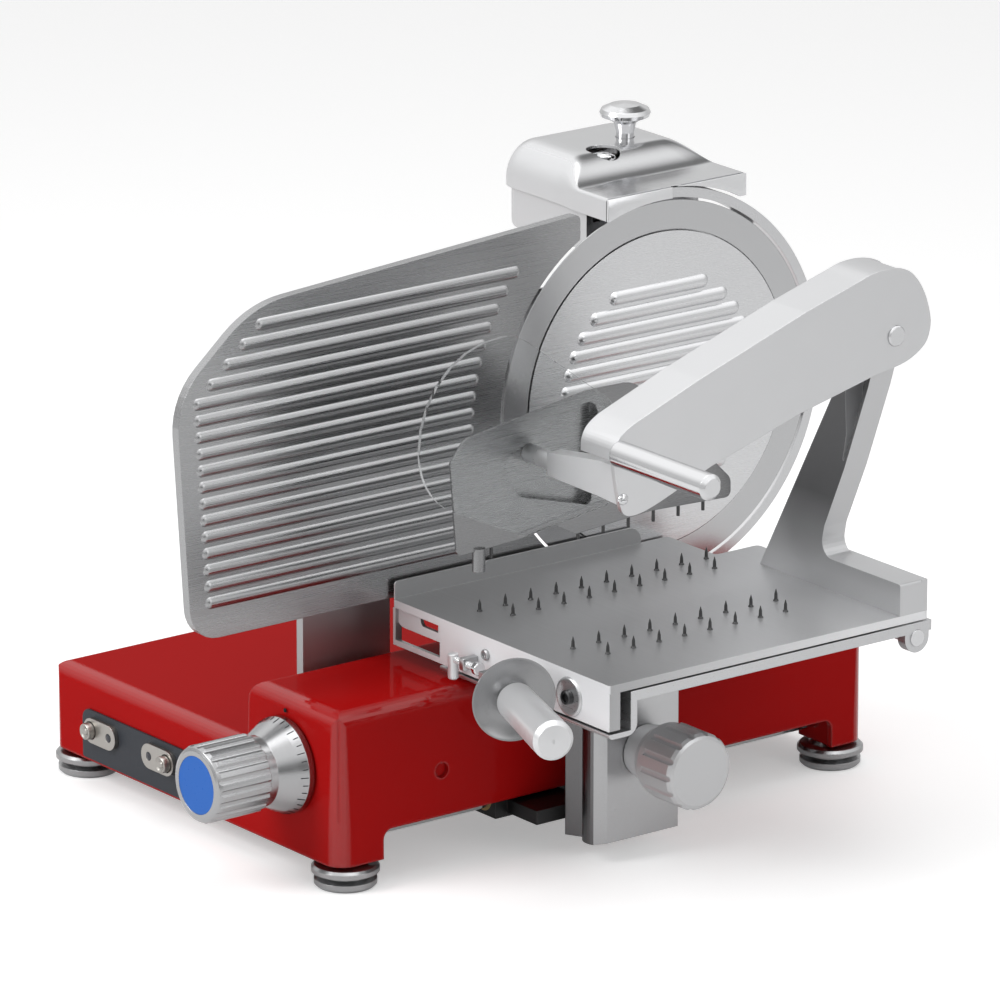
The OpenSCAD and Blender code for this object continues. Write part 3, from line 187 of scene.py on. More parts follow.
def bumpFrom(nodes, links, bsdf, noise, look):
    bump = nodes.new("ShaderNodeBump")
    bump.inputs["Distance"].default_value = look["depth"]
    bump.inputs["Strength"].default_value = look["bump"]
    links.new(noise, bump.inputs["Height"])
    links.new(roundedNormal(nodes, look["edge"]), bump.inputs["Normal"])
    links.new(bump.outputs["Normal"], bsdf.inputs["Normal"])


def paintedLightToRight(nodes, links, colour, gain, limits):
    # painted light: the colour grows brighter towards the right end of the sheet
    along = dotWith(nodes, links, onObject(nodes), towardsRight)
    rightLightRamp = shadeOf(nodes, links, rampOf(nodes, links, along, limits), (1, 1, 1), (gain,) * 3)
    return mixed(nodes, links, 1.0, colour, rightLightRamp, "RGBA", "MULTIPLY")


def paintedFrontLightAndShade(nodes, links, colour, shade, heights):
    # painted light and shade: front faces take their own lighter or darker colour, from the first height up
    # to the second
    risen = rampOf(nodes, links, axesOf(nodes, links, onObject(nodes))["Z"], heights)
    both = worked(nodes, links, "MULTIPLY", risen, frontMask(nodes, links))
    return mixed(nodes, links, both, colour, (shade, shade, shade * coolBlue, 1), "RGBA")


def metalFinish(name, look):
    # brushed or cast metal, cloudy where hands and rags have been
    look = {**plainMetal, **look}
    mat, nodes, links, bsdf = newMaterial(name)
    grain = noiseOn(nodes, links, look["brush"])
    colour = cloudedColour(nodes, links, tuple(look["tone"] * c for c in look["tint"]), look)
    # painted light, brighter towards the right end
    if "paintedRightLight" in look:
        colour = paintedLightToRight(nodes, links, colour, *look["paintedRightLight"])
    # painted light and shade on the front faces
    if "paintedFront" in look:
        colour = paintedFrontLightAndShade(nodes, links, colour, *look["paintedFront"])
    links.new(colour, bsdf.inputs["Base Color"])
    metallic, rough = look["metallic"], unevenRough(nodes, links, grain, look)
    if "wall" in look:   # front faces are bead blasted, the others are brushed
        front = frontMask(nodes, links)
        wallMetallic, wallRough = look["wall"]
        metallic = mixed(nodes, links, front, metallic, wallMetallic)
        rough = mixed(nodes, links, front, rough, wallRough)
    setOrLink(links, metallic, bsdf.inputs["Metallic"])
    links.new(rough, bsdf.inputs["Roughness"])
    bumpFrom(nodes, links, bsdf, grain, look)
    return mat


def skinFinish(name, look):
    # a paint, plastic or stone skin with a faint peel
    look = {**plainSkin, **look}
    mat, nodes, links, bsdf = newMaterial(name)
    peel = noiseOn(nodes, links, (look["peel"],) * 3, 2.0)
    links.new(cloudedColour(nodes, links, look["colour"], look), bsdf.inputs["Base Color"])
    links.new(unevenRough(nodes, links, peel, look), bsdf.inputs["Roughness"])
    bsdf.inputs["Specular IOR Level"].default_value = look["specular"]
    coat = look["coat"]
    if "cornerCoat" in look:   # the lacquer is thicker, and shines more, round the corners
        coat = mixed(nodes, links, cornerMask(nodes, links, look["edge"]), coat, look["cornerCoat"])
    setOrLink(links, coat, bsdf.inputs["Coat Weight"])
    bsdf.inputs["Coat Roughness"].default_value = look["coatRough"]
    bumpFrom(nodes, links, bsdf, peel, look)
    return mat


def clearFinish(name, look):
    # thin clear sheet with a faint haze of wiping marks
    mat, nodes, links, bsdf = newMaterial(name)
    haze = noiseOn(nodes, links, (look["haze"],) * 3)
    bsdf.inputs["Base Color"].default_value = (*look["colour"], 1)
    bsdf.inputs["Transmission Weight"].default_value = 1.0
    bsdf.inputs["IOR"].default_value = look["ior"]
    links.new(rampOf(nodes, links, haze, noiseRange, *look["rough"]), bsdf.inputs["Roughness"])
    return mat


# paintedRightLight: gain, and where this painted light starts and ends; paintedFront: shade and heights
# of the painted light and shade on the front faces; wall: metallic and rough of the front faces
metalLooks = {
    "brightCast": {"tone": 0.63, "rough": 0.33, "metallic": 0.9},
    "capCast": {"tone": 0.62, "rough": 0.2, "bump": 0.03, "mottle": 0.03, "wall": (0.35, 0.35)},
    "facePlate": {"tone": 0.80, "rough": 0.2, "metallic": 0.5, "bump": 0.03},
    "gaugeAlu": {"tone": 0.37, "rough": 0.28, "brush": alongY, "edge": 0.0004},
    "coverAlu": {"tone": 0.68, "rough": 0.28, "brush": alongY, "edge": 0.0004},
    "ringAlu": {"tone": 0.62, "rough": 0.28},
    "knifeSteel": {"tone": 0.52, "rough": 0.24, "mottle": 0.02, "bump": 0.04},
    # the tray's front faces and right end are lighter: painted light
    "tableSteel": {"tone": 0.42, "rough": 0.42, "metallic": 0.75, "brush": alongX, "edge": 0.0005,
                   "mottle": 0.2, "cloud": 5, "wall": (0.1, 0.45), "paintedFront": (0.78, allHeights),
                   "paintedRightLight": (2.0, (0.12, 0.36))},
    "supportAlu": {"tone": 0.56, "rough": 0.30, "brush": alongX, "metallic": 0.85},
    "pressAlu": {"tone": 0.25, "rough": 0.27, "brush": alongY, "bump": 0.02, "roughSpread": 0.01},
    "shaftSteel": {"tone": 0.78, "rough": 0.28, "metallic": 0.5, "bump": 0.01, "roughSpread": 0.004},
    # the column's front faces, and the post's above its foot, are darker: painted shade
    "columnCast": {"tone": 0.50, "rough": 0.30, "mottle": 0.08, "paintedFront": (0.16, allHeights)},
    "postCast": {"tone": 0.58, "rough": 0.32, "mottle": 0.06, "metallic": 0.5, "paintedFront": (0.16, (0.20, 0.26))},
    "hiddenCast": {"tone": 0.40, "rough": 0.42, "mottle": 0.1},
    "darkCast": {"tone": 0.05, "rough": 0.45, "mottle": 0.1},
    "dialMetal": {"tone": 0.40, "rough": 0.24, "mottle": 0.1},
    "lockMetal": {"tone": 0.58, "rough": 0.34, "metallic": 0.5, "bump": 0.01, "roughSpread": 0.004},
    "discMetal": {"tone": 0.30, "rough": 0.30, "bump": 0.03},
    "gripMetal": {"tone": 0.70, "rough": 0.32, "metallic": 0.5, "bump": 0.01, "roughSpread": 0.004},
    "polished": {"tone": 0.64, "rough": 0.14, "bump": 0.03},
    "plainSteel": {"tone": 0.46, "rough": 0.30},
    "spikeSteel": {"tone": 0.08, "rough": 0.35},
    "footAlu": {"tone": 0.34, "rough": 0.28},
    "warmNickel": {"tone": 0.40, "rough": 0.32, "tint": (1.0, 0.96, 0.90)},
    "bronze": {"tone": 0.42, "rough": 0.45, "tint": (1.0, 0.68, 0.30)},
}
skinLooks = {
    "redEnamel": {"colour": (0.37, 0.006, 0.006), "rough": 0.25, "coat": 0.08, "cornerCoat": 1.0,
                  "specular": 0.0, "edge": 0.0028},
    "panelGrey": {"colour": (0.030, 0.034, 0.042), "rough": 0.42, "specular": 0.2},
    "windowBlack": {"colour": (0.02, 0.022, 0.03), "rough": 0.2},
    "insertBlue": {"colour": (0.012, 0.12, 0.48), "rough": 0.3, "specular": 0.2},
    "blackPlastic": {"colour": (0.02, 0.02, 0.022), "rough": 0.5},
    # this black is print ink, and also the painted shadow in the gap behind the sharpener's front plate
    "inkAndShadowBlack": {"colour": (0.015, 0.015, 0.018), "rough": 0.6, "specular": 0.1},
    "motorPaint": {"colour": (0.06, 0.06, 0.065), "rough": 0.4},
    "beltRubber": {"colour": (0.015, 0.015, 0.015), "rough": 0.7, "bump": 0.4},
    "greyStone": {"colour": (0.30, 0.24, 0.19), "rough": 0.8, "bump": 0.5, "peel": 1500},
    "paleStone": {"colour": (0.55, 0.53, 0.48), "rough": 0.75, "bump": 0.4, "peel": 1900},
}
clearLook = {"colour": (0.95, 0.96, 0.96), "rough": (0.01, 0.05), "ior": 1.15, "haze": 60}
finishes = {name: metalFinish(name, look) for name, look in metalLooks.items()}
finishes.update({name: skinFinish(name, look) for name, look in skinLooks.items()})
finishes["clearSheet"] = clearFinish("clearSheet", clearLook)

finishOf = {
    "redEnamel": ["base_casting"],
    "footAlu": ["feet"],
    "panelGrey": ["control_panel"],
    "warmNickel": ["switch_bezels", "start_button", "stop_button"],
    "windowBlack": ["indicator_lenses"],
    "dialMetal": ["dial_knob"],
    "insertBlue": ["dial_insert"],
    "gaugeAlu": ["gauge_plate"],
    "hiddenCast": ["gauge_slide", "gauge_rod_lugs", "gauge_bracket", "hub_pulley", "blade_support"],
    "ringAlu": ["ring_guard"],
    "coverAlu": ["blade_cover"],
    "knifeSteel": ["blade", "slice_deflector"],
    "brightCast": ["swing_arm"],
    "capCast": ["sharpener_cap", "sharpener_base"],
    "tableSteel": ["tray"],
    "supportAlu": ["table_support"],
    "pressAlu": ["press_plate"],
    "shaftSteel": ["press_shaft"],
    "columnCast": ["carriage_column", "carriage_head"],
    "darkCast": ["carriage_slider"],
    "postCast": ["post"],
    "lockMetal": ["lock_knob"],
    "discMetal": ["hand_disc"],
    "gripMetal": ["handle_grip"],
    "polished": ["lift_knob", "release_pin", "arm_handle", "pivot_pin", "guide_rod",
                 "support_bar", "gauge_rods", "slide_rod"],
    "plainSteel": ["dial_shaft", "thickness_cam", "blade_shaft", "motor_shaft", "hub_bearings",
                   "lip_fittings", "stone_carrier", "handle_bracket"],
    "spikeSteel": ["table_spikes", "press_spikes"],
    "blackPlastic": ["cover_nut", "bar_roller", "head_roller"],
    "motorPaint": ["motor_body"],
    "beltRubber": ["drive_belt"],
    "bronze": ["carriage_bushes"],
    "greyStone": ["grinding_stone"],
    "paleStone": ["honing_stone"],
    "clearSheet": ["hand_guard"],
}
for finish, names in finishOf.items():
    for name in names:
        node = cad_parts[name]
        node.data.materials.clear()
        node.data.materials.append(finishes[finish])
print("materials on", sum(len(names) for names in finishOf.values()), "nodes of", len(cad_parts))


# modelling

turnTo = {"X": (0, math.pi / 2, 0), "-Y": (math.pi / 2, 0, 0), "Z": (0, 0, 0), "-Z": (math.pi, 0, 0)}


def pickOut(pieces):
    # these alone are selected, and the first one is active
    bpy.ops.object.select_all(action="DESELECT")
    for piece in pieces:
        piece.select_set(True)
    bpy.context.view_layer.objects.active = pieces[0]


def applyPlace(obj):
    pickOut([obj])
    bpy.ops.object.transform_apply(location=True, rotation=True, scale=True)


def joined(name, pieces):
    pickOut(pieces)
    bpy.ops.object.join()
    pieces[0].name = name
    return pieces[0]


def turnedPiece(name, centre, axis, steps, sides=40):
    # a disc that is extruded and widened step by step, as on a lathe; a step is a level and a radius
    bpy.ops.object.select_all(action="DESELECT")
    level, radius = steps[0]
    bpy.ops.mesh.primitive_circle_add(vertices=sides, radius=radius * mm, fill_type="NGON")
    obj = bpy.context.active_object
    obj.name = name
    bpy.ops.object.mode_set(mode="EDIT")
    bpy.ops.mesh.select_all(action="SELECT")
    for nextLevel, nextRadius in steps[1:]:
        rise = (0, 0, (nextLevel - level) * mm)
        bpy.ops.mesh.extrude_region_move(TRANSFORM_OT_translate={"value": rise})
        ratio = nextRadius / radius
        bpy.ops.transform.resize(value=(ratio, ratio, 1), center_override=(0, 0, nextLevel * mm))
        level, radius = nextLevel, nextRadius
    bpy.ops.mesh.select_all(action="SELECT")
    bpy.ops.mesh.normals_make_consistent(inside=False)
    bpy.ops.object.mode_set(mode="OBJECT")
    obj.location = place(*centre)
    obj.rotation_euler = turnTo[axis]
    applyPlace(obj)
    return obj


def blockPiece(name, low, high, bevel, segments=2):
    # a block with its edges bevelled in edit mode
    low, high = place(*low), place(*high)
    bpy.ops.object.select_all(action="DESELECT")
    bpy.ops.mesh.primitive_cube_add(size=1, location=(low + high) / 2)
    obj = bpy.context.active_object
    obj.name = name
    obj.scale = high - low
    applyPlace(obj)
    bpy.ops.object.mode_set(mode="EDIT")
    bpy.ops.mesh.select_all(action="SELECT")
    bpy.ops.mesh.bevel(offset=bevel * mm, segments=segments, affect="EDGES")
    bpy.ops.object.mode_set(mode="OBJECT")
    return obj


def cutWith(obj, cutter):
    # takes the cutter's shape out of the piece
    bpy.context.view_layer.objects.active = obj
    cut = obj.modifiers.new("cut", "BOOLEAN")
    cut.operation = "DIFFERENCE"
    cut.object = cutter
    cut.solver = "EXACT"
    bpy.ops.object.modifier_apply(modifier=cut.name)
    bpy.data.objects.remove(cutter, do_unlink=True)


def finishPiece(obj, body, finish, smooth=40):
    pickOut([obj])
    bpy.ops.object.shade_smooth_by_angle(angle=math.radians(smooth))
    obj.data.materials.clear()
    obj.data.materials.append(finishes[finish])
    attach(obj, body)


# push buttons with a rolled rim and a dished face

button = {"centres": {"start": -219.5, "stop": -118.5}, "z": 47.5, "rear": -382.8, "radius": 7,
          "rim": [(0, 0.4), (5.4, 0.4), (6.6, 0.7), (7.1, 1.4), (6.9, 2.1), (6.1, 2.8)],   # level, inset
          "face": [(5.8, 2.6), (6.5, 2.2), (6.7, 1.2)]}
buttonSteps = [(level, button["radius"] - inset) for level, inset in button["rim"]] + button["face"]
for side, x in button["centres"].items():
    piece = turnedPiece(side + "PushButton", (x, button["rear"], button["z"]), "-Y", buttonSteps)
    finishPiece(piece, side + "_body", "warmNickel")
    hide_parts(side + "_button")
print("push buttons")


# dial: index dot on the casting and graduation on the flange

indexDot = {"at": (31, -378.8, 129), "steps": [(0, 1.7), (0.5, 1.6), (0.7, 1.2)]}
dial = {"x": 32, "z": 87, "back": -379.5, "ticks": 36, "longEvery": 3, "longFrom": 11.2, "shortFrom": 9.4,
        "tickTo": 5.6, "halfWide": 0.3, "thick": 0.5, "bevel": 0.1, "sunk": 0.25,
        "radiusFrom": 34.9, "radiusTo": 37.3}
dot = turnedPiece("indexDot", indexDot["at"], "-Y", indexDot["steps"], sides=20)
finishPiece(dot, "base", "inkAndShadowBlack")


def flangeTick(number):
    # a thin bar that leans with the cone of the flange
    start = dial["shortFrom"] if number % dial["longEvery"] else dial["longFrom"]
    low = (dial["x"] - dial["halfWide"], dial["back"] - start, dial["z"])
    high = (dial["x"] + dial["halfWide"], dial["back"] - dial["tickTo"], dial["z"] + dial["thick"])
    obj = blockPiece("tick", low, high, dial["bevel"], segments=1)
    centre = place(dial["x"], dial["back"], dial["z"])
    lean = (dial["radiusTo"] - dial["radiusFrom"]) / (dial["longFrom"] - dial["tickTo"])
    angle = number * 2 * math.pi / dial["ticks"]
    for vert in obj.data.vertices:   # lifts the bar to the cone, then turns it about the dial
        rest = vert.co - centre
        radius = dial["radiusFrom"] - dial["sunk"] + lean * (rest.y / mm + dial["longFrom"])
        out = rest.z + radius * mm
        vert.co = centre + Vector((rest.x * math.cos(angle) + out * math.sin(angle), rest.y,
                                   out * math.cos(angle) - rest.x * math.sin(angle)))
    return obj


graduation = joined("dialGraduation", [flangeTick(i) for i in range(dial["ticks"])])
finishPiece(graduation, "dial_body", "inkAndShadowBlack", smooth=20)
print("dial details")


# table lip: threaded stop with its lug and hanging peg, small screw, cup washer with socket screw

lip = {"y": -257, "sunk": 0.5}
stop = {"lugX": (104, 110), "lugZ": (158.5, 168.5), "lugDeep": 14, "lugBevel": 1.2,
        "x": 92, "y": -267, "z": 163.5, "tip": [(0, 2.0), (0.6, 2.8)], "turns": 18, "pitch": 1.5,
        "groove": [(1.2, 3.0), (1.6, 2.5), (2.2, 2.5), (2.4, 3.0)],
        "head": [(28.5, 3.0), (28.5, 5.0), (32.5, 5.2), (33.3, 4.4)], "pegUp": 4.5,
        "peg": [(0, 3.0), (0.8, 4.2), (7, 4.4), (9, 4.0), (16, 4.2), (19.4, 4.0), (20.4, 3.0)]}
smallScrew = {"x": 120, "z": 172, "steps": [(0, 4.2), (2.4, 4.2), (3.2, 3.4), (3.2, 2.0), (1.6, 1.8)]}
washer = {"x": 222, "z": 165.5, "screwProud": 0.2,
          "cup": [(0, 15.5), (1.6, 15.0), (2.3, 14.0), (2.2, 12.8), (1.2, 9.5), (0.9, 7.0), (0.9, 6.5)],
          "screw": [(0, 5.6), (4.0, 5.6), (4.8, 4.9), (4.8, 3.3), (1.8, 3.1)]}
inLip = lip["y"] + lip["sunk"]
lug = blockPiece("stopLug", (stop["lugX"][0], lip["y"] - stop["lugDeep"], stop["lugZ"][0]),
                 (stop["lugX"][1], inLip, stop["lugZ"][1]), stop["lugBevel"])
finishPiece(lug, "table_body", "plainSteel")
thread = list(stop["tip"])
for i in range(stop["turns"]):
    thread += [(level + i * stop["pitch"], radius) for level, radius in stop["groove"]]
thread += stop["head"]
stopRod = turnedPiece("stopScrew", (stop["x"], stop["y"], stop["z"]), "X", thread, sides=24)
finishPiece(stopRod, "table_body", "polished")
pegTop = (stop["x"], stop["y"], stop["z"] + stop["pegUp"])
peg = turnedPiece("hangingPeg", pegTop, "-Z", stop["peg"], sides=28)
finishPiece(peg, "table_body", "gripMetal")
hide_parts("lip_fittings")
screwAt = (smallScrew["x"], inLip, smallScrew["z"])
lipScrew = turnedPiece("lipScrew", screwAt, "-Y", smallScrew["steps"], sides=24)
finishPiece(lipScrew, "table_body", "plainSteel")
cup = turnedPiece("cupWasher", (washer["x"], inLip, washer["z"]), "-Y", washer["cup"], sides=48)
finishPiece(cup, "table_body", "supportAlu", smooth=50)
headAt = (washer["x"], lip["y"] - washer["screwProud"], washer["z"])
socketHead = turnedPiece("socketScrew", headAt, "-Y", washer["screw"], sides=36)
finishPiece(socketHead, "table_body", "spikeSteel")
print("lip fittings")


# table spikes: short points on a flared foot

spikes = {"z": 186, "pitch": 24.3, "steps": [(0, 2.2), (0.7, 2.0), (1.3, 1.4), (5.6, 1.2), (9.4, 0.2)],
          "rows": [(67, -223, 10), (90, -209, 9), (182, -223, 9), (207.5, -210, 8)]}   # x, first y, count
spike = turnedPiece("tableSpikes", (0, 0, spikes["z"]), "Z", spikes["steps"], sides=16)
points = []
for x, y, count in spikes["rows"]:
    for i in range(count):
        point = spike.copy()
        point.data = spike.data.copy()
        point.data.transform(Matrix.Translation(Vector((x, y + i * spikes["pitch"], 0)) * mm))
        bpy.context.collection.objects.link(point)
        points.append(point)
bpy.data.objects.remove(spike, do_unlink=True)
spikeRows = joined("tableSpikes", points)
finishPiece(spikeRows, "table_body", "spikeSteel")
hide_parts("table_spikes")
print("table spikes")


# hand disc: a shallow dish with a thin rolled rim round the foot of the grip

handle = {"x": 196, "y": -291, "z": 165, "turn": math.radians(-20.6), "back": 2,
          "foot": [(0, 26), (1.2, 31)], "rim": [(3.4, 32.4), (3.9, 32.3), (4.0, 31.8), (3.5, 30.8)],
          "dish": [(2.3, 27), (1.2, 21.5), (0.7, 18), (0.7, 13), (4.0, 11.8)]}
turnTo["handle"] = (0, math.pi / 2, handle["turn"])
discBack = (handle["x"] + handle["back"] * math.cos(handle["turn"]),
            handle["y"] + handle["back"] * math.sin(handle["turn"]), handle["z"])
discSteps = handle["foot"] + handle["rim"] + handle["dish"]
disc = turnedPiece("dishedDisc", discBack, "handle", discSteps, sides=72)
finishPiece(disc, "table_body", "discMetal", smooth=50)
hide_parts("hand_disc")
print("hand disc")


# arm: slotted stop screw in its right wall

armScrew = {"at": (247.4, -228.2, 319.3), "head": [(0, 4.4), (1.2, 4.4), (2.2, 3.9), (2.9, 2.7), (3.2, 1.0)],
            "slotFrom": (249.2, -233.5, 318.7), "slotTo": (251.5, -223, 319.9), "slotBevel": 0.05}
screwHead = turnedPiece("armScrew", armScrew["at"], "X", armScrew["head"], sides=32)
cutWith(screwHead, blockPiece("slotCutter", armScrew["slotFrom"], armScrew["slotTo"],
                              armScrew["slotBevel"], segments=1))
finishPiece(screwHead, "arm_body", "polished")
print("arm screw")


# sharpener: smooth cap, bright front plate before a black plate that paints the shadow in the gap behind it,
# return spring round the release pin

sharpener = {"y0": -54, "y1": 81, "z0": 449, "z1": 466.4, "knifeZ": 305,
             "archX": (-10, 20), "archSides": 160,
             "arches": [(153, -60, 9), (162, 8.9, 90)]}   # radius, from y, to y
cap = {"x0": -143, "x1": 4, "crown": 484, "flange": 467, "inset": 3, "round": 26, "rearRound": 22,
       "edge": 2.6, "skirt": 1, "foldFrom": -64, "foldTo": -30, "crownX": (-90, -74), "flangeX": (-20, -8),
       "foldSteps": 14, "roundSteps": 8, "rearSteps": 10, "wall": 2.4, "merge": 0.02}
releasePin = {"at": (-64, -4), "hole": 13.4, "cupZ": 463,
              "cup": [(0, 13.4), (13, 13.4), (13, 12), (3, 12), (3, 4.6)]}
liftStem = {"at": (-84, 33), "hole": 7.5}
drill = {"z": 459, "long": 40}
plates = {"shadowGapX": (3.6, 4.9), "shadowGapMargin": 0.7, "frontX": (4.8, 6.6), "down": 0.5, "bevel": 0.3}
spring = {"z": 466.6, "radius": 9.4, "wire": 0.9, "wireSides": 10, "turns": 4, "turnSteps": 24, "rise": 12.5}


def eased(value, start, end):
    # zero at the start, one at the end, level at both
    t = min(max((value - start) / (end - start), 0.0), 1.0)
    return t * t * (3 - 2 * t)


def roundOff(distance, radius):
    # how far a quarter round lies inside its corner
    rest = max(radius - distance, 0.0)
    return radius - math.sqrt(radius * radius - rest * rest)


def quarterTurn(steps):
    return [i * math.pi / 2 / steps for i in range(steps + 1)]


def capSection(x):
    # left wall, crown and right wall at one place along the cap
    behind = x - cap["x0"]
    fold = eased(x, cap["foldFrom"], cap["foldTo"])
    top = cap["crown"] - roundOff(behind, cap["rearRound"]) - fold * (cap["crown"] - cap["flange"])
    inset = cap["inset"] * (1 - fold) + roundOff(behind, cap["round"])
    left, right = sharpener["y0"] + inset, sharpener["y1"] - inset
    radius = min(cap["round"] + fold * (cap["edge"] - cap["round"]), top - sharpener["z0"] - cap["skirt"])
    corner = [(radius * (1 - math.cos(a)), top - radius * (1 - math.sin(a)))
              for a in quarterTurn(cap["roundSteps"])]
    flat = right - left - 2 * radius
    points = [(left, sharpener["z0"])]
    points += [(left + inward, z) for inward, z in corner]
    points += [(left + radius + flat * i / cap["roundSteps"], top) for i in range(1, cap["roundSteps"])]
    points += [(right - inward, z) for inward, z in reversed(corner)]
    return points + [(right, sharpener["z0"])]


def footOf(section):
    # the same points, down at the lower edge
    return [(x, y, sharpener["z0"]) for x, y, z in section]


def capSections():
    # from the rear wall over the crown and the fold to the front wall
    stations = [cap["x0"] + cap["round"] * (1 - math.cos(a)) for a in quarterTurn(cap["rearSteps"])]
    stations += cap["crownX"]
    foldLong = cap["foldTo"] - cap["foldFrom"]
    stations += [cap["foldFrom"] + i * foldLong / cap["foldSteps"] for i in range(cap["foldSteps"] + 1)]
    stations += [*cap["flangeX"], cap["x1"]]
    sections = [[(x, y, z) for y, z in capSection(x)] for x in stations]
    return [footOf(sections[0]), *sections, footOf(sections[-1])]


def cutArches(obj):
    # the lower edge follows the knife and, further back, the ring guard
    x0, x1 = sharpener["archX"]
    for radius, y0, y1 in sharpener["arches"]:
        bpy.ops.object.select_all(action="DESELECT")
        bpy.ops.mesh.primitive_cylinder_add(vertices=sharpener["archSides"], radius=radius * mm,
                                            depth=(x1 - x0) * mm, rotation=turnTo["X"],
                                            location=place((x0 + x1) / 2, 0, sharpener["knifeZ"]))
        arch = bpy.context.active_object
        applyPlace(arch)
        bpy.ops.object.mode_set(mode="EDIT")
        for y, clearOuter in ((y0, False), (y1, True)):
            bpy.ops.mesh.select_all(action="SELECT")
            bpy.ops.mesh.bisect(plane_co=place(0, y, 0), plane_no=(0, 1, 0), use_fill=True,
                                clear_inner=not clearOuter, clear_outer=clearOuter)
        bpy.ops.object.mode_set(mode="OBJECT")
        cutWith(obj, arch)


def archedPlate(name, ends, margin):
    obj = blockPiece(name, (ends[0], sharpener["y0"] + margin, sharpener["z0"] - plates["down"]),
                     (ends[1], sharpener["y1"] - margin, sharpener["z1"] - margin), plates["bevel"])
    cutArches(obj)
    return obj


def capOf(sections):
    # a grid whose rows are bent to the sections, then thickened, arched and drilled
    rows, columns = len(sections) - 1, len(sections[0]) - 1
    bpy.ops.object.select_all(action="DESELECT")
    bpy.ops.mesh.primitive_grid_add(x_subdivisions=rows, y_subdivisions=columns, size=2)
    obj = bpy.context.active_object
    obj.name = "capShell"
    for vert in obj.data.vertices:   # the grid reaches from -1 to 1
        row = round((vert.co.x + 1) / 2 * rows)
        column = round((vert.co.y + 1) / 2 * columns)
        vert.co = place(*sections[row][column])
    bpy.ops.object.mode_set(mode="EDIT")
    bpy.ops.mesh.select_all(action="SELECT")
    bpy.ops.mesh.remove_doubles(threshold=cap["merge"] * mm)
    bpy.ops.mesh.normals_make_consistent(inside=False)
    bpy.ops.object.mode_set(mode="OBJECT")
    shell = obj.modifiers.new("shell", "SOLIDIFY")
    shell.thickness = cap["wall"] * mm
    shell.offset = -1
    bpy.ops.object.modifier_apply(modifier=shell.name)
    cutArches(obj)
    for hole in (releasePin, liftStem):
        steps = [(0, hole["hole"]), (drill["long"], hole["hole"])]
        cutWith(obj, turnedPiece("drill", (*hole["at"], drill["z"]), "Z", steps, sides=48))
    return obj


def woundSpring():
    # a ring of wire, wound up and closed at both ends
    bpy.ops.object.select_all(action="DESELECT")
    bpy.ops.mesh.primitive_circle_add(vertices=spring["wireSides"], radius=spring["wire"] * mm,
                                      location=(spring["radius"] * mm, 0, 0), rotation=(math.pi / 2, 0, 0))
    coil = bpy.context.active_object
    coil.name = "returnSpring"
    applyPlace(coil)
    wind = coil.modifiers.new("wind", "SCREW")
    wind.axis = "Z"
    wind.angle = spring["turns"] * 2 * math.pi
    wind.screw_offset = spring["rise"] * mm
    wind.steps = wind.render_steps = spring["turnSteps"] * spring["turns"]
    wind.use_merge_vertices = False
    bpy.ops.object.modifier_apply(modifier=wind.name)
    bpy.ops.object.mode_set(mode="EDIT")
    bpy.ops.mesh.select_all(action="DESELECT")
    bpy.ops.mesh.select_mode(type="EDGE")
    bpy.ops.mesh.select_non_manifold()
    bpy.ops.mesh.fill_holes(sides=0)
    bpy.ops.mesh.select_all(action="SELECT")
    bpy.ops.mesh.normals_make_consistent(inside=False)
    bpy.ops.object.mode_set(mode="OBJECT")
    coil.location = place(*releasePin["at"], spring["z"] + spring["wire"])
    applyPlace(coil)
    return coil


capShell = capOf(capSections())
finishPiece(capShell, "base", "capCast")
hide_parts("sharpener_cap")
pinCup = turnedPiece("pinCup", (*releasePin["at"], releasePin["cupZ"]), "Z", releasePin["cup"])
finishPiece(pinCup, "base", "darkCast")
# painted shadow: a black plate in the gap between the cap and the front plate
shadowGap = archedPlate("paintedShadowGap", plates["shadowGapX"], plates["shadowGapMargin"])
finishPiece(shadowGap, "base", "inkAndShadowBlack")
plate = archedPlate("frontPlate", plates["frontX"], 0.0)
finishPiece(plate, "base", "facePlate")
finishPiece(woundSpring(), "base", "polished", smooth=60)
print("sharpener details")


# studio: white floor and world, three soft lamps, dark cards that are seen in mirrors alone

lamps = {   # place, aim, size, power
    "topLight": ((0.2, 0.1, 2.2), (0, 0, 0.2), (1.8, 1.8), 15.0),
    "keyLight": ((-0.6, -2.0, 1.6), (0, 0, 0.25), (1.2, 1.2), 32.0),
    "fillLight": ((2.2, 0.6, 1.0), (0, 0, 0.25), (1.0, 1.4), 6.0),
}
ground = {"half": 3.2, "shade": 0.86, "rough": 0.6, "specular": 0.1,
          "light": 0.0, "mirrored": 0.15, "seen": 0.36}
sky = {"light": 0.5, "seen": 1.0, "rise": (0.25, 0.6), "horizon": 0.76, "zenith": 1.4}
cards = [   # direction, degrees to the inner and outer edge, shade
    ((-0.38, 0.58, 0.72), 10, 27, 0.22),
    ((0.98, -0.2, 0.1), 6, 20, 0.2),
]


def softLight(name, at, aim, size, power):
    lamp = bpy.data.lights.new(name, "AREA")
    lamp.shape = "RECTANGLE"
    lamp.size, lamp.size_y = size
    lamp.energy = power
    obj = bpy.data.objects.new(name, lamp)
    bpy.context.collection.objects.link(obj)
    obj.location = at
    obj.rotation_euler = (Vector(aim) - Vector(at)).to_track_quat("-Z", "Y").to_euler()


def strengthByRay(nodes, links, light, mirrored, seen):
    # one strength as a light, one in mirrors, one where it is seen straight or through the clear sheet
    rays = nodes.new("ShaderNodeLightPath").outputs
    strength = mixed(nodes, links, rays["Is Glossy Ray"], light, mirrored)
    strength = mixed(nodes, links, rays["Is Transmission Ray"], strength, seen)
    return mixed(nodes, links, rays["Is Camera Ray"], strength, seen)


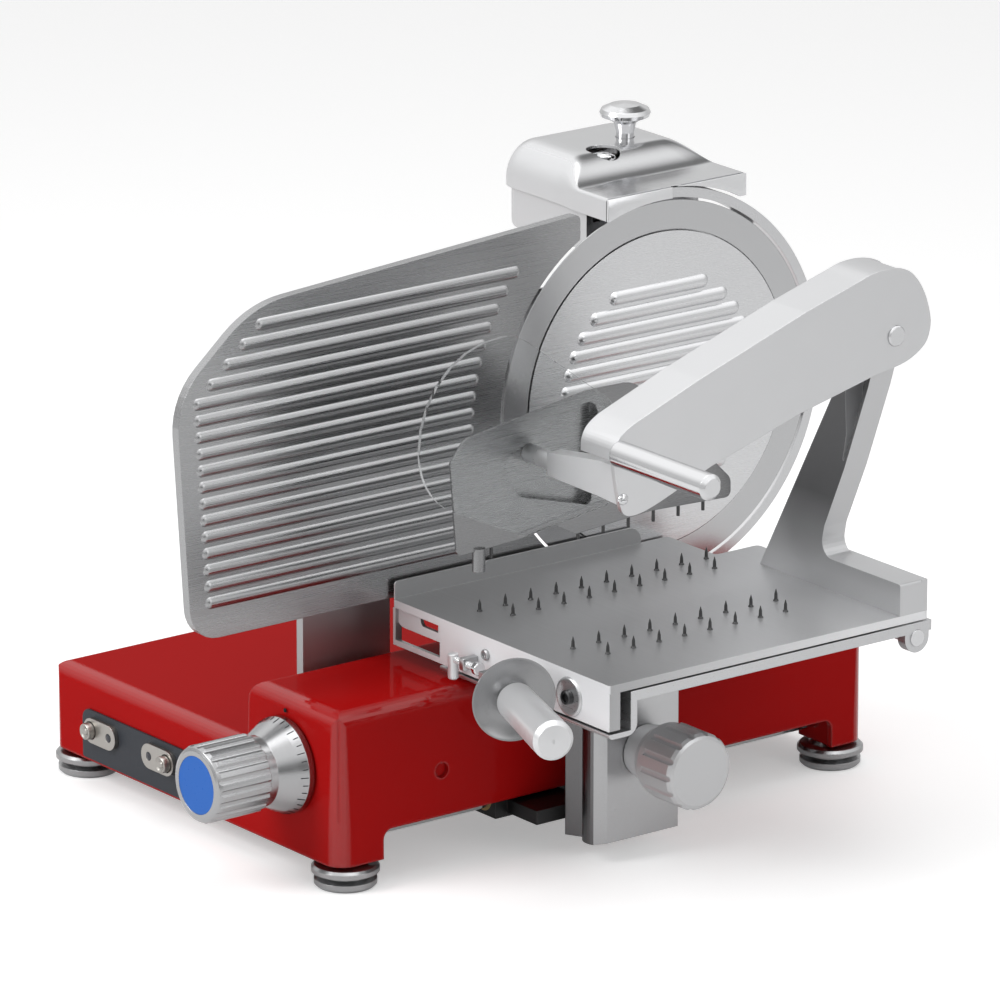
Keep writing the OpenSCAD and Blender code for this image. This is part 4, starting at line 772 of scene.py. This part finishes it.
def layFloor():
    bpy.ops.mesh.primitive_plane_add(size=ground["half"] * 2, location=(0, 0, 0))
    floor = bpy.context.active_object
    floor.name = "studioFloor"
    mat, nodes, links, bsdf = newMaterial("studioFloor")
    shade = ground["shade"]
    bsdf.inputs["Base Color"].default_value = (shade, shade, shade, 1)
    bsdf.inputs["Roughness"].default_value = ground["rough"]
    bsdf.inputs["Specular IOR Level"].default_value = ground["specular"]
    bsdf.inputs["Emission Color"].default_value = (1, 1, 1, 1)
    glow = strengthByRay(nodes, links, ground["light"], ground["mirrored"], ground["seen"])
    links.new(glow, bsdf.inputs["Emission Strength"])
    floor.data.materials.append(mat)


def lightWorld():
    world = bpy.data.worlds.new("studioWorld")
    bpy.context.scene.world = world
    world.use_nodes = True
    nodes, links = world.node_tree.nodes, world.node_tree.links
    nodes["Background"].inputs["Color"].default_value = (1, 1, 1, 1)
    toward = nodes.new("ShaderNodeTexCoord").outputs["Generated"]
    height = axesOf(nodes, links, toward)["Z"]
    mirrored = rampOf(nodes, links, height, sky["rise"], sky["horizon"], sky["zenith"])
    for direction, inner, outer, shade in cards:
        near = dotWith(nodes, links, toward, Vector(direction).normalized())
        limits = (math.cos(math.radians(outer)), math.cos(math.radians(inner)))
        mirrored = mixed(nodes, links, rampOf(nodes, links, near, limits), mirrored, shade)
    links.new(strengthByRay(nodes, links, sky["light"], mirrored, sky["seen"]),
              nodes["Background"].inputs["Strength"])


for name, values in lamps.items():
    softLight(name, *values)
layFloor()
lightWorld()

# camera at the photograph's angle
viewpoint = {"at": (5.1315, -3.9383, 2.2305), "tilt": 73.0, "round": 52.7,
             "lens": 320.4, "sensor": 36, "reach": 50}
cameraData = bpy.data.cameras.new("photoCamera")
cameraData.lens = viewpoint["lens"]
cameraData.sensor_width = viewpoint["sensor"]
cameraData.clip_end = viewpoint["reach"]
camera = bpy.data.objects.new("photoCamera", cameraData)
bpy.context.collection.objects.link(camera)
camera.location = viewpoint["at"]
camera.rotation_euler = (math.radians(viewpoint["tilt"]), 0, math.radians(viewpoint["round"]))
bpy.context.scene.camera = camera
bpy.context.scene.view_settings.view_transform = "Standard"
print("studio ready")
